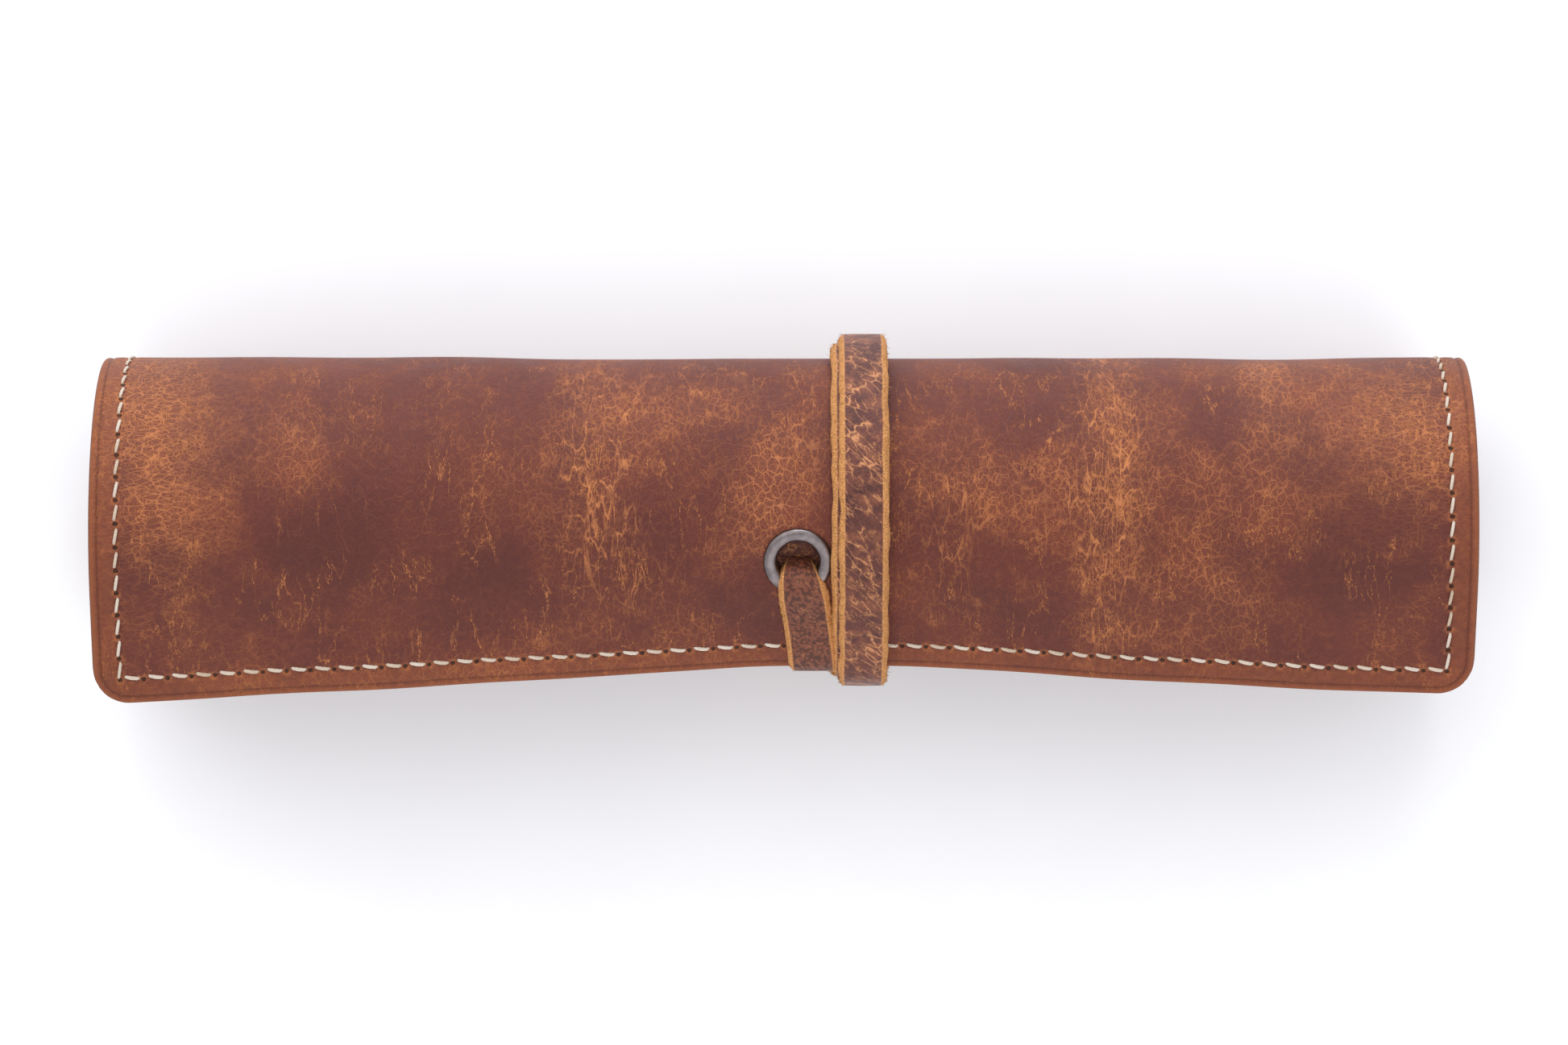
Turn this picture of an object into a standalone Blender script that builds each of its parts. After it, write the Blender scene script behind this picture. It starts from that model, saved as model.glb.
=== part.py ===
"""A leather brush roll case, rolled up and tied.

The case is one long sheet of three stitched layers (outer panel, lining, pocket strip) rolled round its
own inner end. A strap comes out of an eyelet in the flap and is wound twice round the waist.
The roll's axis is X. Angles are polar angles in the YZ plane about that axis: 0 is +Y, 90 is straight up,
and the sheet goes on counting past a full turn, so that one number names one place along it.
Lengths are in millimetres until a vertex is made.
"""

import math

import bmesh
import bpy
from mathutils import Vector

MM = 0.001

# The roll
ROLL_LENGTH = 240.0
AXIS_Y = 1.5
AXIS_Z = 31.0
WAIST_RADIUS = 27.2
TURN_PITCH = 5.0
LEVEL_ANGLE = 50.0
PANEL = 1.6
LINING = 1.0
POCKET = 1.0
SKIN_GAP = 0.3

# How the ends swell past the tied waist
WAIST_MIDDLE = 9.0
WAIST_HALF = 13.0
SWELL_REACH = 101.0
SWELL_LEFT_CAP = 1.6
SWELL_RIGHT_CAP = 1.0
SWELL_EVEN = 3.1
SWELL_FRONT = 2.9
SAG_REACH = 60.0
SAG_DOWN = 4.0
SAG_FADED = -420.0
SAG_FADE = 240.0
FLAP_LIFT = 3.8
FLAP_LIFT_FROM = 100.0
FLAP_LIFT_OVER = 56.0

# Where the sheet starts, bends and ends
EDGE_ANGLE = 170.0
EDGE_DRAWN_BACK = 14.0
INNER_END = -500.0
SHEET_HINGES = (130.0, 70.0, 10.0, -50.0, -130.0, -190.0, -250.0, -310.0, -370.0, -430.0)
TABLE_FROM = -50.0
POCKET_START = -134.0
POCKET_END = -492.0
POCKET_LEFT = -111.0
POCKET_MOUTH = 22.0
CORNER_RADIUS = 6.5
HINGE_GAP = 0.32
ARC_STEP = 10.0
X_STATIONS = (-120.0, -92.0, -52.0, -20.0, -4.0, 9.0, 22.0, 52.0, 88.0, 120.0)

# The strap
STRAP_WIDTH = 7.6
STRAP_THICK = 1.3
STRAP_REST = 0.4
STRAP_PITCH = 2.25
STRAP_SPIRAL_FROM = 360.0
STRAP_TAIL_X = 4.9
STRAP_INNER_X = 12.8
STRAP_OUTER_X = 13.7
STRAP_SHIFT_FROM = 176.0
STRAP_SHIFT_OVER = 160.0
STRAP_BRIDGE_ANGLE = 200.0
STRAP_SECTIONS = 10
STRAP_SECTION_ANGLE = 78.0
STRAP_HINGE_OUT = 4.0

# The strap's stretch through the eyelet, squeezed to the hole's width, then over the rim:
# (angle, height above the waist, sideways from the eyelet, width)
THROUGH_WIDTH = 4.6
THROUGH_FROM = -3.1
THROUGH_TO = (1.2, 1.8)
THROUGH_ANGLES = ((112.6, 109.8), (113.0, 110.2))
OVER_RIM = (
    (115.6, 2.15, 0.4, 5.6),
    (121.6, 2.75, 1.6, 7.0),
    (125.2, 1.3, 2.1, STRAP_WIDTH),
)

# The eyelet in the flap
EYELET_ANGLE = 108.6
EYELET_X = 2.4
EYELET_FLANGE = 6.0
EYELET_HOLE = 3.7
EYELET_BARREL = 4.3
EYELET_SEAT = 4.6
EYELET_THICK = 1.1
EYELET_DEEP = 3.0
WASHER_OUTER = 5.6
WASHER_THICK = 0.5
ANCHOR_THICK = 0.6
ANCHOR_HALF_WIDTH = 8.0
ANCHOR_HALF_ANGLE = 14.0
ANCHOR_STEPS = 4
PUNCH_FROM = -8.0
PUNCH_TO = 6.0
ROUND_STEPS = 24

COLOURS = {
    "outer_leather": ((0.155, 0.062, 0.038, 1.0), 0.5, 0.0),
    "lining_leather": ((0.34, 0.16, 0.075, 1.0), 0.65, 0.0),
    "pocket_leather": ((0.27, 0.12, 0.06, 1.0), 0.6, 0.0),
    "strap_leather": ((0.13, 0.055, 0.04, 1.0), 0.55, 0.0),
    "eyelet_metal": ((0.18, 0.17, 0.19, 1.0), 0.32, 1.0),
}


def smooth(value):
    """Eases from 0 to 1 as the value goes from 0 to 1."""
    value = min(max(value, 0.0), 1.0)
    return value * value * (3.0 - 2.0 * value)


def swell(x):
    """How far the roll has swollen at x: 0 at the tied waist, about 1 at the left end."""
    reach = max(abs(x - WAIST_MIDDLE) - WAIST_HALF, 0.0) / SWELL_REACH
    cap = SWELL_LEFT_CAP if x < WAIST_MIDDLE else SWELL_RIGHT_CAP
    return cap * math.tanh(reach / cap)


def waist_radius(angle):
    """The outer face of the sheet at the waist: level over the top, stepping in once each turn below."""
    turns = (LEVEL_ANGLE - angle) / 360.0
    return WAIST_RADIUS - TURN_PITCH * (turns - math.sin(2.0 * math.pi * turns) / (2.0 * math.pi))


def outer_radius(angle, x):
    """The outer face of the sheet anywhere."""
    turn = math.radians(angle)
    bulge = SWELL_EVEN - SWELL_FRONT * math.cos(turn)
    lift = FLAP_LIFT * max((angle - FLAP_LIFT_FROM) / FLAP_LIFT_OVER, 0.0) ** 2
    sag = SAG_DOWN * max(-math.sin(turn), 0.0) ** 2
    sag *= smooth((abs(x - WAIST_MIDDLE) - WAIST_HALF) / SAG_REACH)
    sag *= smooth((angle - SAG_FADED) / SAG_FADE)
    return waist_radius(angle) + swell(x) * (bulge + lift) + sag


def polar(x, radius, angle):
    """The point at this radius and angle from the roll's axis."""
    turn = math.radians(angle)
    return Vector((x, AXIS_Y + radius * math.cos(turn), AXIS_Z + radius * math.sin(turn)))


def sheet_point(angle, x, depth):
    """A point this deep under the sheet's outer face. The underside of the roll is pressed flat."""
    point = polar(x, outer_radius(angle, x) - depth, angle)
    point.z = max(point.z, depth)
    return point


def gap_angle(angle):
    """The angle that half of a hinge gap takes up."""
    return math.degrees(HINGE_GAP / 2.0 / (waist_radius(angle) - PANEL))


def edge_angle(x):
    """The flap's edge runs lower round the waist than at the swollen ends."""
    return EDGE_ANGLE - EDGE_DRAWN_BACK * swell(x)


def corner_inset(distance):
    """How far a rounded corner has come in from the side, this far from the end of the sheet."""
    short = max(CORNER_RADIUS - distance, 0.0)
    return CORNER_RADIUS - math.sqrt(max(CORNER_RADIUS**2 - short**2, 0.0))


def make_material(slot):
    colour, roughness, metallic = COLOURS[slot]
    material = bpy.data.materials.new(slot)
    material.use_nodes = True
    shader = material.node_tree.nodes["Principled BSDF"]
    shader.inputs["Base Color"].default_value = colour
    shader.inputs["Roughness"].default_value = roughness
    shader.inputs["Metallic"].default_value = metallic
    return material


def make_object(name, points, faces, slot, body):
    """A closed mesh on its body's axis, with its faces turned out."""
    origin = body["origin"]
    mesh = bpy.data.meshes.new(name)
    mesh.from_pydata([(point - origin) * MM for point in points], [], faces)
    shape = bmesh.new()
    shape.from_mesh(mesh)
    bmesh.ops.recalc_face_normals(shape, faces=shape.faces)
    bmesh.ops.triangulate(shape, faces=shape.faces)
    shape.to_mesh(mesh)
    shape.free()
    mesh.materials.append(materials[slot])
    mesh.shade_smooth()
    mesh.set_sharp_from_angle(angle=math.radians(35.0))
    obj = bpy.data.objects.new(name, mesh)
    bpy.context.scene.collection.objects.link(obj)
    obj.parent = body["empty"]
    return obj


def make_body(name, parent, origin):
    """An empty on the body's hinge axis, which its pieces and the next body hang from."""
    empty = bpy.data.objects.new(name + "_axis", None)
    empty.empty_display_size = 0.01
    bpy.context.scene.collection.objects.link(empty)
    if parent:
        empty.parent = parent["empty"]
        empty.location = (origin - parent["origin"]) * MM
    else:
        empty.location = origin * MM
    return {"empty": empty, "origin": origin}


def slab(rows_out, rows_in):
    """The points and faces of a curved slab between two grids of points."""
    rows = len(rows_out)
    columns = len(rows_out[0])
    points = [point for row in rows_out for point in row] + [point for row in rows_in for point in row]
    back = rows * columns
    faces = []
    for row in range(rows - 1):
        for column in range(columns - 1):
            corner = row * columns + column
            quad = (corner, corner + 1, corner + columns + 1, corner + columns)
            faces.append(quad)
            faces.append(tuple(back + index for index in reversed(quad)))
    top = list(range(columns))
    right = [row * columns + columns - 1 for row in range(1, rows)]
    bottom = [(rows - 1) * columns + column for column in range(columns - 2, -1, -1)]
    left = [row * columns for row in range(rows - 2, 0, -1)]
    rim = top + right + bottom + left
    for index, first in enumerate(rim):
        second = rim[(index + 1) % len(rim)]
        faces.append((first, back + first, back + second, second))
    return points, faces


def sheet_slab(low, high, shallow, deep, x_stations=X_STATIONS, free_low=False, free_high=False):
    """One stretch of one layer of the sheet, between two angles and depths. A free end has round corners."""
    count = max(2, math.ceil((high - low) / ARC_STEP - 0.01))
    grids = ([], [])
    for step in range(count + 1):
        share = step / count
        row_angle = low + (high - low) * share
        reach = math.radians(1.0) * waist_radius(row_angle)
        inset = 0.0
        if free_high:
            inset += corner_inset((high - row_angle) * reach)
        if free_low:
            inset += corner_inset((row_angle - low) * reach)
        half = ROLL_LENGTH / 2.0 - inset
        row_x = [min(max(x, -half), half) for x in x_stations]
        drawn = [edge_angle(x) - EDGE_ANGLE if free_high else 0.0 for x in row_x]
        for grid, depth in zip(grids, (shallow, deep)):
            grid.append(
                [sheet_point(row_angle + back * share, x, depth) for x, back in zip(row_x, drawn)]
            )
    return slab(*grids)


def strap_x(angle):
    """The strap steps sideways from the eyelet to the waist while it is out of sight behind the roll."""
    first = smooth((angle - STRAP_SHIFT_FROM) / STRAP_SHIFT_OVER)
    second = smooth((angle - STRAP_SHIFT_FROM - 360.0) / STRAP_SHIFT_OVER)
    return STRAP_TAIL_X + (STRAP_INNER_X - STRAP_TAIL_X) * first + (STRAP_OUTER_X - STRAP_INNER_X) * second


def strap_radius(angle):
    """The strap's underside: along the flap, off its edge down to the roll, then winding over itself."""
    if angle <= EDGE_ANGLE:
        return waist_radius(angle) + STRAP_REST
    landing = waist_radius(STRAP_BRIDGE_ANGLE - 360.0)
    off_edge = math.radians(min(angle - STRAP_BRIDGE_ANGLE, 0.0))
    first_turn = max(waist_radius(min(angle, STRAP_SPIRAL_FROM) - 360.0), landing / math.cos(off_edge))
    return first_turn + STRAP_REST + STRAP_PITCH * max(angle - STRAP_SPIRAL_FROM, 0.0) / 360.0


def ribbon(stations):
    """The points and faces of a flat strip.

    A station is (x, width, lower radius, lower angle, upper radius, upper angle).
    """
    points = []
    for x, width, low_radius, low_angle, high_radius, high_angle in stations:
        for side in (-0.5, 0.5):
            points.append(polar(x + side * width, low_radius, low_angle))
            points.append(polar(x + side * width, high_radius, high_angle))
    faces = [(0, 1, 3, 2)]
    for station in range(len(stations) - 1):
        start = 4 * station
        for first, second in ((0, 1), (1, 3), (3, 2), (2, 0)):
            faces.append((start + first, start + second, start + 4 + second, start + 4 + first))
    last = 4 * (len(stations) - 1)
    faces.append((last, last + 2, last + 3, last + 1))
    return points, faces


def wound_stations(low, high):
    """Stations for a stretch of the wound strap."""
    count = max(2, math.ceil((high - low) / ARC_STEP))
    stations = []
    for step in range(count + 1):
        angle = low + (high - low) * step / count
        under = strap_radius(angle)
        stations.append((strap_x(angle), STRAP_WIDTH, under, angle, under + STRAP_THICK, angle))
    return stations


def eyelet_stations(high):
    """The strap's first stretch: up through the eyelet, over its rim and down onto the flap."""
    stations = []
    for heights, angles in zip(((THROUGH_FROM, THROUGH_FROM), THROUGH_TO), THROUGH_ANGLES):
        low_radius, high_radius = (WAIST_RADIUS + height for height in heights)
        stations.append((EYELET_X, THROUGH_WIDTH, low_radius, angles[0], high_radius, angles[1]))
    for angle, height, sideways, width in OVER_RIM:
        under = WAIST_RADIUS + height
        stations.append((EYELET_X + sideways, width, under, angle, under + STRAP_THICK, angle))
    under = strap_radius(high)
    stations.append((STRAP_TAIL_X, STRAP_WIDTH, under, high, under + STRAP_THICK, high))
    return stations


def eyelet_frame():
    """The eyelet's seat on the flap, its outward direction and its two sideways directions."""
    seat = polar(EYELET_X, waist_radius(EYELET_ANGLE), EYELET_ANGLE)
    out = polar(0.0, 1.0, EYELET_ANGLE) - polar(0.0, 0.0, EYELET_ANGLE)
    along = Vector((1.0, 0.0, 0.0))
    return seat, out, along, out.cross(along)


def turned(profile):
    """A ring turned about the eyelet's axis from a closed profile of (radius, height)."""
    seat, out, along, across = eyelet_frame()
    points = []
    for step in range(ROUND_STEPS):
        turn = 2.0 * math.pi * step / ROUND_STEPS
        sideways = along * math.cos(turn) + across * math.sin(turn)
        points.extend(seat + sideways * radius + out * height for radius, height in profile)
    size = len(profile)
    faces = []
    for step in range(ROUND_STEPS):
        here = step * size
        there = (step + 1) % ROUND_STEPS * size
        for index in range(size):
            following = (index + 1) % size
            faces.append((here + index, here + following, there + following, there + index))
    return points, faces


def eyelet_profile():
    """The eyelet in section: a rounded flange on the flap and a barrel through the sheet."""
    low = SKIN_GAP
    top = SKIN_GAP + EYELET_THICK
    return (
        (EYELET_HOLE, -EYELET_DEEP),
        (EYELET_BARREL, -EYELET_DEEP),
        (EYELET_BARREL, low),
        (EYELET_FLANGE - 0.3, low),
        (EYELET_FLANGE, low + 0.35),
        (EYELET_FLANGE - 0.35, top - 0.2),
        (EYELET_FLANGE - 1.0, top),
        (EYELET_HOLE + 0.8, top - 0.1),
        (EYELET_HOLE + 0.2, top - 0.4),
        (EYELET_HOLE, top - 0.9),
    )


def bent_ring(inner, outer, shallow, deep):
    """A flat ring laid against the sheet's inside, round the eyelet."""
    radius = waist_radius(EYELET_ANGLE)
    points = []
    for step in range(ROUND_STEPS):
        turn = 2.0 * math.pi * step / ROUND_STEPS
        for reach, depth in ((inner, shallow), (outer, shallow), (outer, deep), (inner, deep)):
            angle = EYELET_ANGLE + math.degrees(reach * math.sin(turn) / radius)
            points.append(sheet_point(angle, EYELET_X + reach * math.cos(turn), depth))
    faces = []
    for step in range(ROUND_STEPS):
        here = step * 4
        there = (step + 1) % ROUND_STEPS * 4
        for index in range(4):
            following = (index + 1) % 4
            faces.append((here + index, here + following, there + following, there + index))
    return points, faces


def cut_eyelet_hole(obj):
    """Punches the eyelet's seat through one layer."""
    seat, out, along, across = eyelet_frame()
    points = []
    for height in (PUNCH_FROM, PUNCH_TO):
        for step in range(ROUND_STEPS):
            turn = 2.0 * math.pi * step / ROUND_STEPS
            sideways = along * math.cos(turn) + across * math.sin(turn)
            points.append(seat + sideways * EYELET_SEAT + out * height)
    faces = [tuple(range(ROUND_STEPS)), tuple(range(2 * ROUND_STEPS - 1, ROUND_STEPS - 1, -1))]
    for step in range(ROUND_STEPS):
        following = (step + 1) % ROUND_STEPS
        faces.append((step, following, ROUND_STEPS + following, ROUND_STEPS + step))
    body = {"origin": Vector((0.0, 0.0, 0.0)), "empty": None}
    cutter = make_object(obj.name + "_punch", points, faces, "outer_leather", body)
    cutter.hide_render = True
    cutter.display_type = "WIRE"
    punch = obj.modifiers.new("eyelet_hole", "BOOLEAN")
    punch.operation = "DIFFERENCE"
    punch.solver = "EXACT"
    punch.object = cutter


def hinge_point(angle):
    """The bend line of the sheet at this angle: straight, and outside the leather at both swollen ends."""
    radius = max(outer_radius(angle, x) for x in X_STATIONS)
    return polar(0.0, radius, angle)


def strap_hinge_point(angle):
    """The bend line of the strap at this angle, on its outer face."""
    return polar(0.0, strap_radius(angle) + STRAP_THICK + STRAP_HINGE_OUT, angle)


def build_sheet():
    """The sheet's bodies, from the one that lies on the table out to the flap and in to the core."""
    bounds = (EDGE_ANGLE,) + SHEET_HINGES + (INNER_END,)
    pocket_stations = [POCKET_LEFT] + [x for x in X_STATIONS if POCKET_LEFT < x <= POCKET_MOUTH]
    table = SHEET_HINGES.index(TABLE_FROM) + 1
    bodies = {table: make_body("section_%02d" % (table + 1), None, polar(0.0, 0.0, 0.0))}
    for section in range(table - 1, -1, -1):
        origin = hinge_point(bounds[section + 1])
        bodies[section] = make_body("section_%02d" % (section + 1), bodies[section + 1], origin)
    for section in range(table + 1, len(bounds) - 1):
        origin = hinge_point(bounds[section])
        bodies[section] = make_body("section_%02d" % (section + 1), bodies[section - 1], origin)
    for section in range(len(bounds) - 1):
        number = "%02d" % (section + 1)
        is_flap = section == 0
        is_core = section == len(bounds) - 2
        high = bounds[section] - (0.0 if is_flap else gap_angle(bounds[section]))
        low = bounds[section + 1] + (0.0 if is_core else gap_angle(bounds[section + 1]))
        body = bodies[section]
        shape = sheet_slab(low, high, 0.0, PANEL, X_STATIONS, is_core, is_flap)
        panel = make_object("outer_panel_" + number, *shape, "outer_leather", body)
        inner_face = PANEL + SKIN_GAP
        shape = sheet_slab(low, high, inner_face, inner_face + LINING, X_STATIONS, is_core, is_flap)
        lining = make_object("lining_" + number, *shape, "lining_leather", body)
        if low < EYELET_ANGLE < high:
            cut_eyelet_hole(panel)
            cut_eyelet_hole(lining)
        pocket_high = min(high, POCKET_START)
        pocket_low = max(low, POCKET_END)
        if pocket_high > pocket_low:
            depth = inner_face + LINING + SKIN_GAP
            shape = sheet_slab(pocket_low, pocket_high, depth, depth + POCKET, pocket_stations)
            make_object("pocket_" + number, *shape, "pocket_leather", body)
    return bodies


def build_eyelet(body):
    """The eyelet, its washer behind the lining and the patch that anchors the strap's end."""
    make_object("eyelet", *turned(eyelet_profile()), "eyelet_metal", body)
    behind = PANEL + SKIN_GAP + LINING + SKIN_GAP
    washer = bent_ring(EYELET_SEAT, WASHER_OUTER, behind, behind + WASHER_THICK)
    make_object("eyelet_washer", *washer, "eyelet_metal", body)
    behind += WASHER_THICK + SKIN_GAP
    rows_out = []
    rows_in = []
    line = [EYELET_X + side * ANCHOR_HALF_WIDTH for side in (-1.0, 0.0, 1.0)]
    for step in range(ANCHOR_STEPS + 1):
        angle = EYELET_ANGLE + ANCHOR_HALF_ANGLE * (2.0 * step / ANCHOR_STEPS - 1.0)
        rows_out.append([sheet_point(angle, x, behind) for x in line])
        rows_in.append([sheet_point(angle, x, behind + ANCHOR_THICK) for x in line])
    make_object("strap_anchor", *slab(rows_out, rows_in), "strap_leather", body)


def build_strap(bodies):
    """The strap: through the eyelet, down the flap, then twice round the waist in hinged stretches."""
    flap_hinge = SHEET_HINGES[0]
    clear = gap_angle(flap_hinge)
    shape = ribbon(eyelet_stations(flap_hinge - clear))
    make_object("strap_01", *shape, "strap_leather", bodies[1])
    shape = ribbon(wound_stations(flap_hinge + clear, EDGE_ANGLE - clear))
    make_object("strap_02", *shape, "strap_leather", bodies[0])
    body = bodies[0]
    for section in range(STRAP_SECTIONS):
        start = EDGE_ANGLE + STRAP_SECTION_ANGLE * section
        end = start + STRAP_SECTION_ANGLE
        name = "strap_%02d" % (section + 3)
        body = make_body(name, body, strap_hinge_point(start))
        shape = ribbon(wound_stations(start + clear, end - clear))
        make_object(name, *shape, "strap_leather", body)


for old in list(bpy.data.objects):
    bpy.data.objects.remove(old, do_unlink=True)

materials = {slot: make_material(slot) for slot in COLOURS}
sheet_bodies = build_sheet()
build_eyelet(sheet_bodies[1])
build_strap(sheet_bodies)
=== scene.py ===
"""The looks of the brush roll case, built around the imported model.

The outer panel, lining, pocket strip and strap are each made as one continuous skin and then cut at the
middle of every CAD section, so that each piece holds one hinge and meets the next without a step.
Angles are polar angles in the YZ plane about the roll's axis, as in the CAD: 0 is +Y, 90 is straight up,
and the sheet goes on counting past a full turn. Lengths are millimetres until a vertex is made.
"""

import math

import bmesh
import bpy
import numpy as np
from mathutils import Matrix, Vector


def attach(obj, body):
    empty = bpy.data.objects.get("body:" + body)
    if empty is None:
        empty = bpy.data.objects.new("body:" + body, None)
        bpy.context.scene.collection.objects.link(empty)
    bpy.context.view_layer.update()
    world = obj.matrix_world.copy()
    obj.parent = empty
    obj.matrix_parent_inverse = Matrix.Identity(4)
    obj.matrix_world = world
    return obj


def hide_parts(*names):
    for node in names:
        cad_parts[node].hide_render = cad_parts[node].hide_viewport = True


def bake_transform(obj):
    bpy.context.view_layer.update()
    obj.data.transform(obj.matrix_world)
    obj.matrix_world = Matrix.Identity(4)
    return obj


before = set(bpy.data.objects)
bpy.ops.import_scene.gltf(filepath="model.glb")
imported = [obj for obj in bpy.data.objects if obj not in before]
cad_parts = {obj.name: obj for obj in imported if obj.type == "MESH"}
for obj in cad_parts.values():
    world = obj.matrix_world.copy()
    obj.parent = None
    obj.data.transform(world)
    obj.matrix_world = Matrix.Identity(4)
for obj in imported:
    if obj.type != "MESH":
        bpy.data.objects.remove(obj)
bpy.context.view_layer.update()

MM = 0.001

# The roll, as in the CAD
ROLL_LENGTH = 240.0
AXIS_Y = 1.5
AXIS_Z = 31.0
WAIST_RADIUS = 27.2
TURN_PITCH = 5.0
LEVEL_ANGLE = 50.0
WAIST_MIDDLE = 9.0
WAIST_HALF = 13.0
WAIST_SOFT = 5.0
SWELL_REACH = 101.0
SWELL_LEFT_CAP = 1.6
SWELL_RIGHT_CAP = 1.0
SWELL_EVEN = 3.1
SWELL_FRONT = 2.9
SAG_REACH = 60.0
SAG_DOWN = 4.0
SAG_FADED = -420.0
SAG_FADE = 240.0
INNER_END = -500.0
CORNER_RADIUS = 6.5
OFF_TABLE = 0.02

# The flap leaves the roll and runs straight to its edge, both sooner at the swollen ends.
# It is shorter than the CAD's, which follows the roll.
FLAP_LEAVES = 126.0
FLAP_LEAVES_SOONER = 9.0
EDGE_ANGLE = 152.0
EDGE_DRAWN_BACK = 2.5

# The leather's slight waves: (height, length across, length along, shift)
WAVES = (
    (0.16, 17.0, 23.0, 0.0),
    (0.10, 9.3, -14.0, 1.3),
    (0.07, 5.1, 31.0, 0.4),
)
WAVES_GROW_OVER = 25.0

# Depths of the layers under the outer face: where each starts and ends
PANEL_DEPTH = (0.0, 1.7)
LINING_DEPTH = (1.75, 2.85)
POCKET_DEPTH = (2.95, 3.95)
POCKET_SPAN = (-134.0, -492.0)
POCKET_REACH = (-111.0, 22.0)
POCKET_COUNT = 7
POCKET_CORNER = 2.0
POCKET_SEAM_INSET = 3.0
POCKET_FIRST_BEND = 4

# Where the skins are cut, and between which angles each piece bends
SHEET_CUTS = (100.0, 40.0, -20.0, -90.0, -160.0, -220.0, -280.0, -340.0, -400.0)
SHEET_BENDS = (
    (150.0, 122.0), (95.0, 40.0), (40.0, -20.0), (-20.0, -90.0), (-90.0, -160.0),
    (-160.0, -220.0), (-220.0, -280.0), (-280.0, -340.0), (-340.0, -400.0), (-400.0, -465.0),
)

# Sewing
SEAM_INSET = 4.7
SEAM_PRESSED = 0.24
SEAM_PRESSED_HALF = 0.55
HEM_THINNED = 0.12
HEM_THINNED_OVER = 3.5
RIM_GROOVE = 1.45
GROOVE_PRESSED = 0.22
GROOVE_HALF = 0.28
SEAM_STITCHES = 56
STITCH_PITCH = (ROLL_LENGTH - 2.0 * SEAM_INSET) / SEAM_STITCHES
STITCH_LENGTH = 3.05
STITCH_SLANT = math.radians(10.0)

# The strap
STRAP_THICK = 1.5
STRAP_BEVEL = 0.85
STRAP_CROWN = 0.05
STRAP_SLACK_BEHIND = 0.75
STRAP_SLACK = 0.25
STRAP_REST = 0.3
STRAP_PITCH = 1.62
STRAP_SPIRAL_FROM = 360.0
STRAP_TAIL_X = 5.2
STRAP_INNER_X = 13.2
STRAP_OUTER_X = 13.8
STRAP_SHIFT_FROM = 176.0
STRAP_SHIFT_OVER = 160.0
STRAP_BRIDGE_ANGLE = 200.0
STRAP_WIDTH = 8.5
STRAP_UNDER_WIDTH = 10.0
STRAP_TAIL_WIDTH = 8.8
STRAP_WOUND_FROM = 170.0
STRAP_WIDENS_OVER = 60.0
STRAP_NARROWS_FROM = 560.0
STRAP_NARROWS_OVER = 120.0
STRAP_END = 950.0
FLAP_PUSHES_OUT = 26.0
FLAP_PUSH_SHARE = 0.86
STRAP_SLACK_OVER = 110.0
STRAP_SECTIONS = 10
STRAP_SECTION_ANGLE = 78.0
STRAP_STEP = 2.5
STRAP_SMOOTHINGS = 3
STRAP_EDGE_WOBBLE = 0.16
STRAP_SEED = 11
TAIL_FADES_OVER = 30.0
FLAP_HINGE = 130.0
FLAP_BLEND = (122.0, 150.0)

# The stretch through the eyelet:
# (angle, height over the waist, sideways from the eyelet, width, crown)
STRAP_THROUGH = (
    (110.6, -3.0, 0.2, 5.6, 0.5),
    (110.7, -1.3, 0.2, 6.2, 0.6),
    (111.2, 0.5, 0.3, 7.2, 0.8),
    (113.2, 2.0, 0.4, 8.2, 0.9),
    (117.0, 2.5, 0.7, 8.8, 0.6),
    (121.4, 2.2, 1.1, 8.8, 0.35),
    (125.6, 1.35, 1.4, 8.8, 0.15),
)

# The eyelet
EYELET_ANGLE = 108.6
EYELET_X = 2.4
EYELET_FLANGE = 6.0
EYELET_HOLE = 3.75
EYELET_BARREL = 4.3
EYELET_PUNCH = 4.8
EYELET_SUNK = 0.35
EYELET_PRESSES = 5.5
EYELET_THICK = 1.1
EYELET_DEEP = 3.4
EYELET_CLEAR = 0.04
EYELET_ROLL_STEPS = 14
EYELET_STEPS = 72
EYELET_SHARP = math.radians(50.0)
WASHER_OUTER = 5.8
WASHER_THICK = 0.5
WASHER_FIT = 0.1
WASHER_SIDES = 10
WASHER_STEPS = 48
PATCH_HALF_WIDTH = 8.0
PATCH_HALF_ANGLE = 14.0
PATCH_THICK = 0.8
PATCH_CORNER = 1.8


def ease(value):
    """Eases from 0 to 1 as the value goes from 0 to 1."""
    value = np.clip(value, 0.0, 1.0)
    return value * value * (3.0 - 2.0 * value)


def swell(x):
    """How far the roll has swollen at x: 0 at the tied waist, about 1 at the left end."""
    past = np.abs(x - WAIST_MIDDLE) - WAIST_HALF
    reach = (np.sqrt(past**2 + WAIST_SOFT**2) + past) / 2.0 / SWELL_REACH
    cap = np.where(x < WAIST_MIDDLE, SWELL_LEFT_CAP, SWELL_RIGHT_CAP)
    return cap * np.tanh(reach / cap)


def waist_radius(angle):
    """The outer face of the sheet at the waist."""
    turns = (LEVEL_ANGLE - angle) / 360.0
    return WAIST_RADIUS - TURN_PITCH * (turns - np.sin(2.0 * np.pi * turns) / (2.0 * np.pi))


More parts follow.
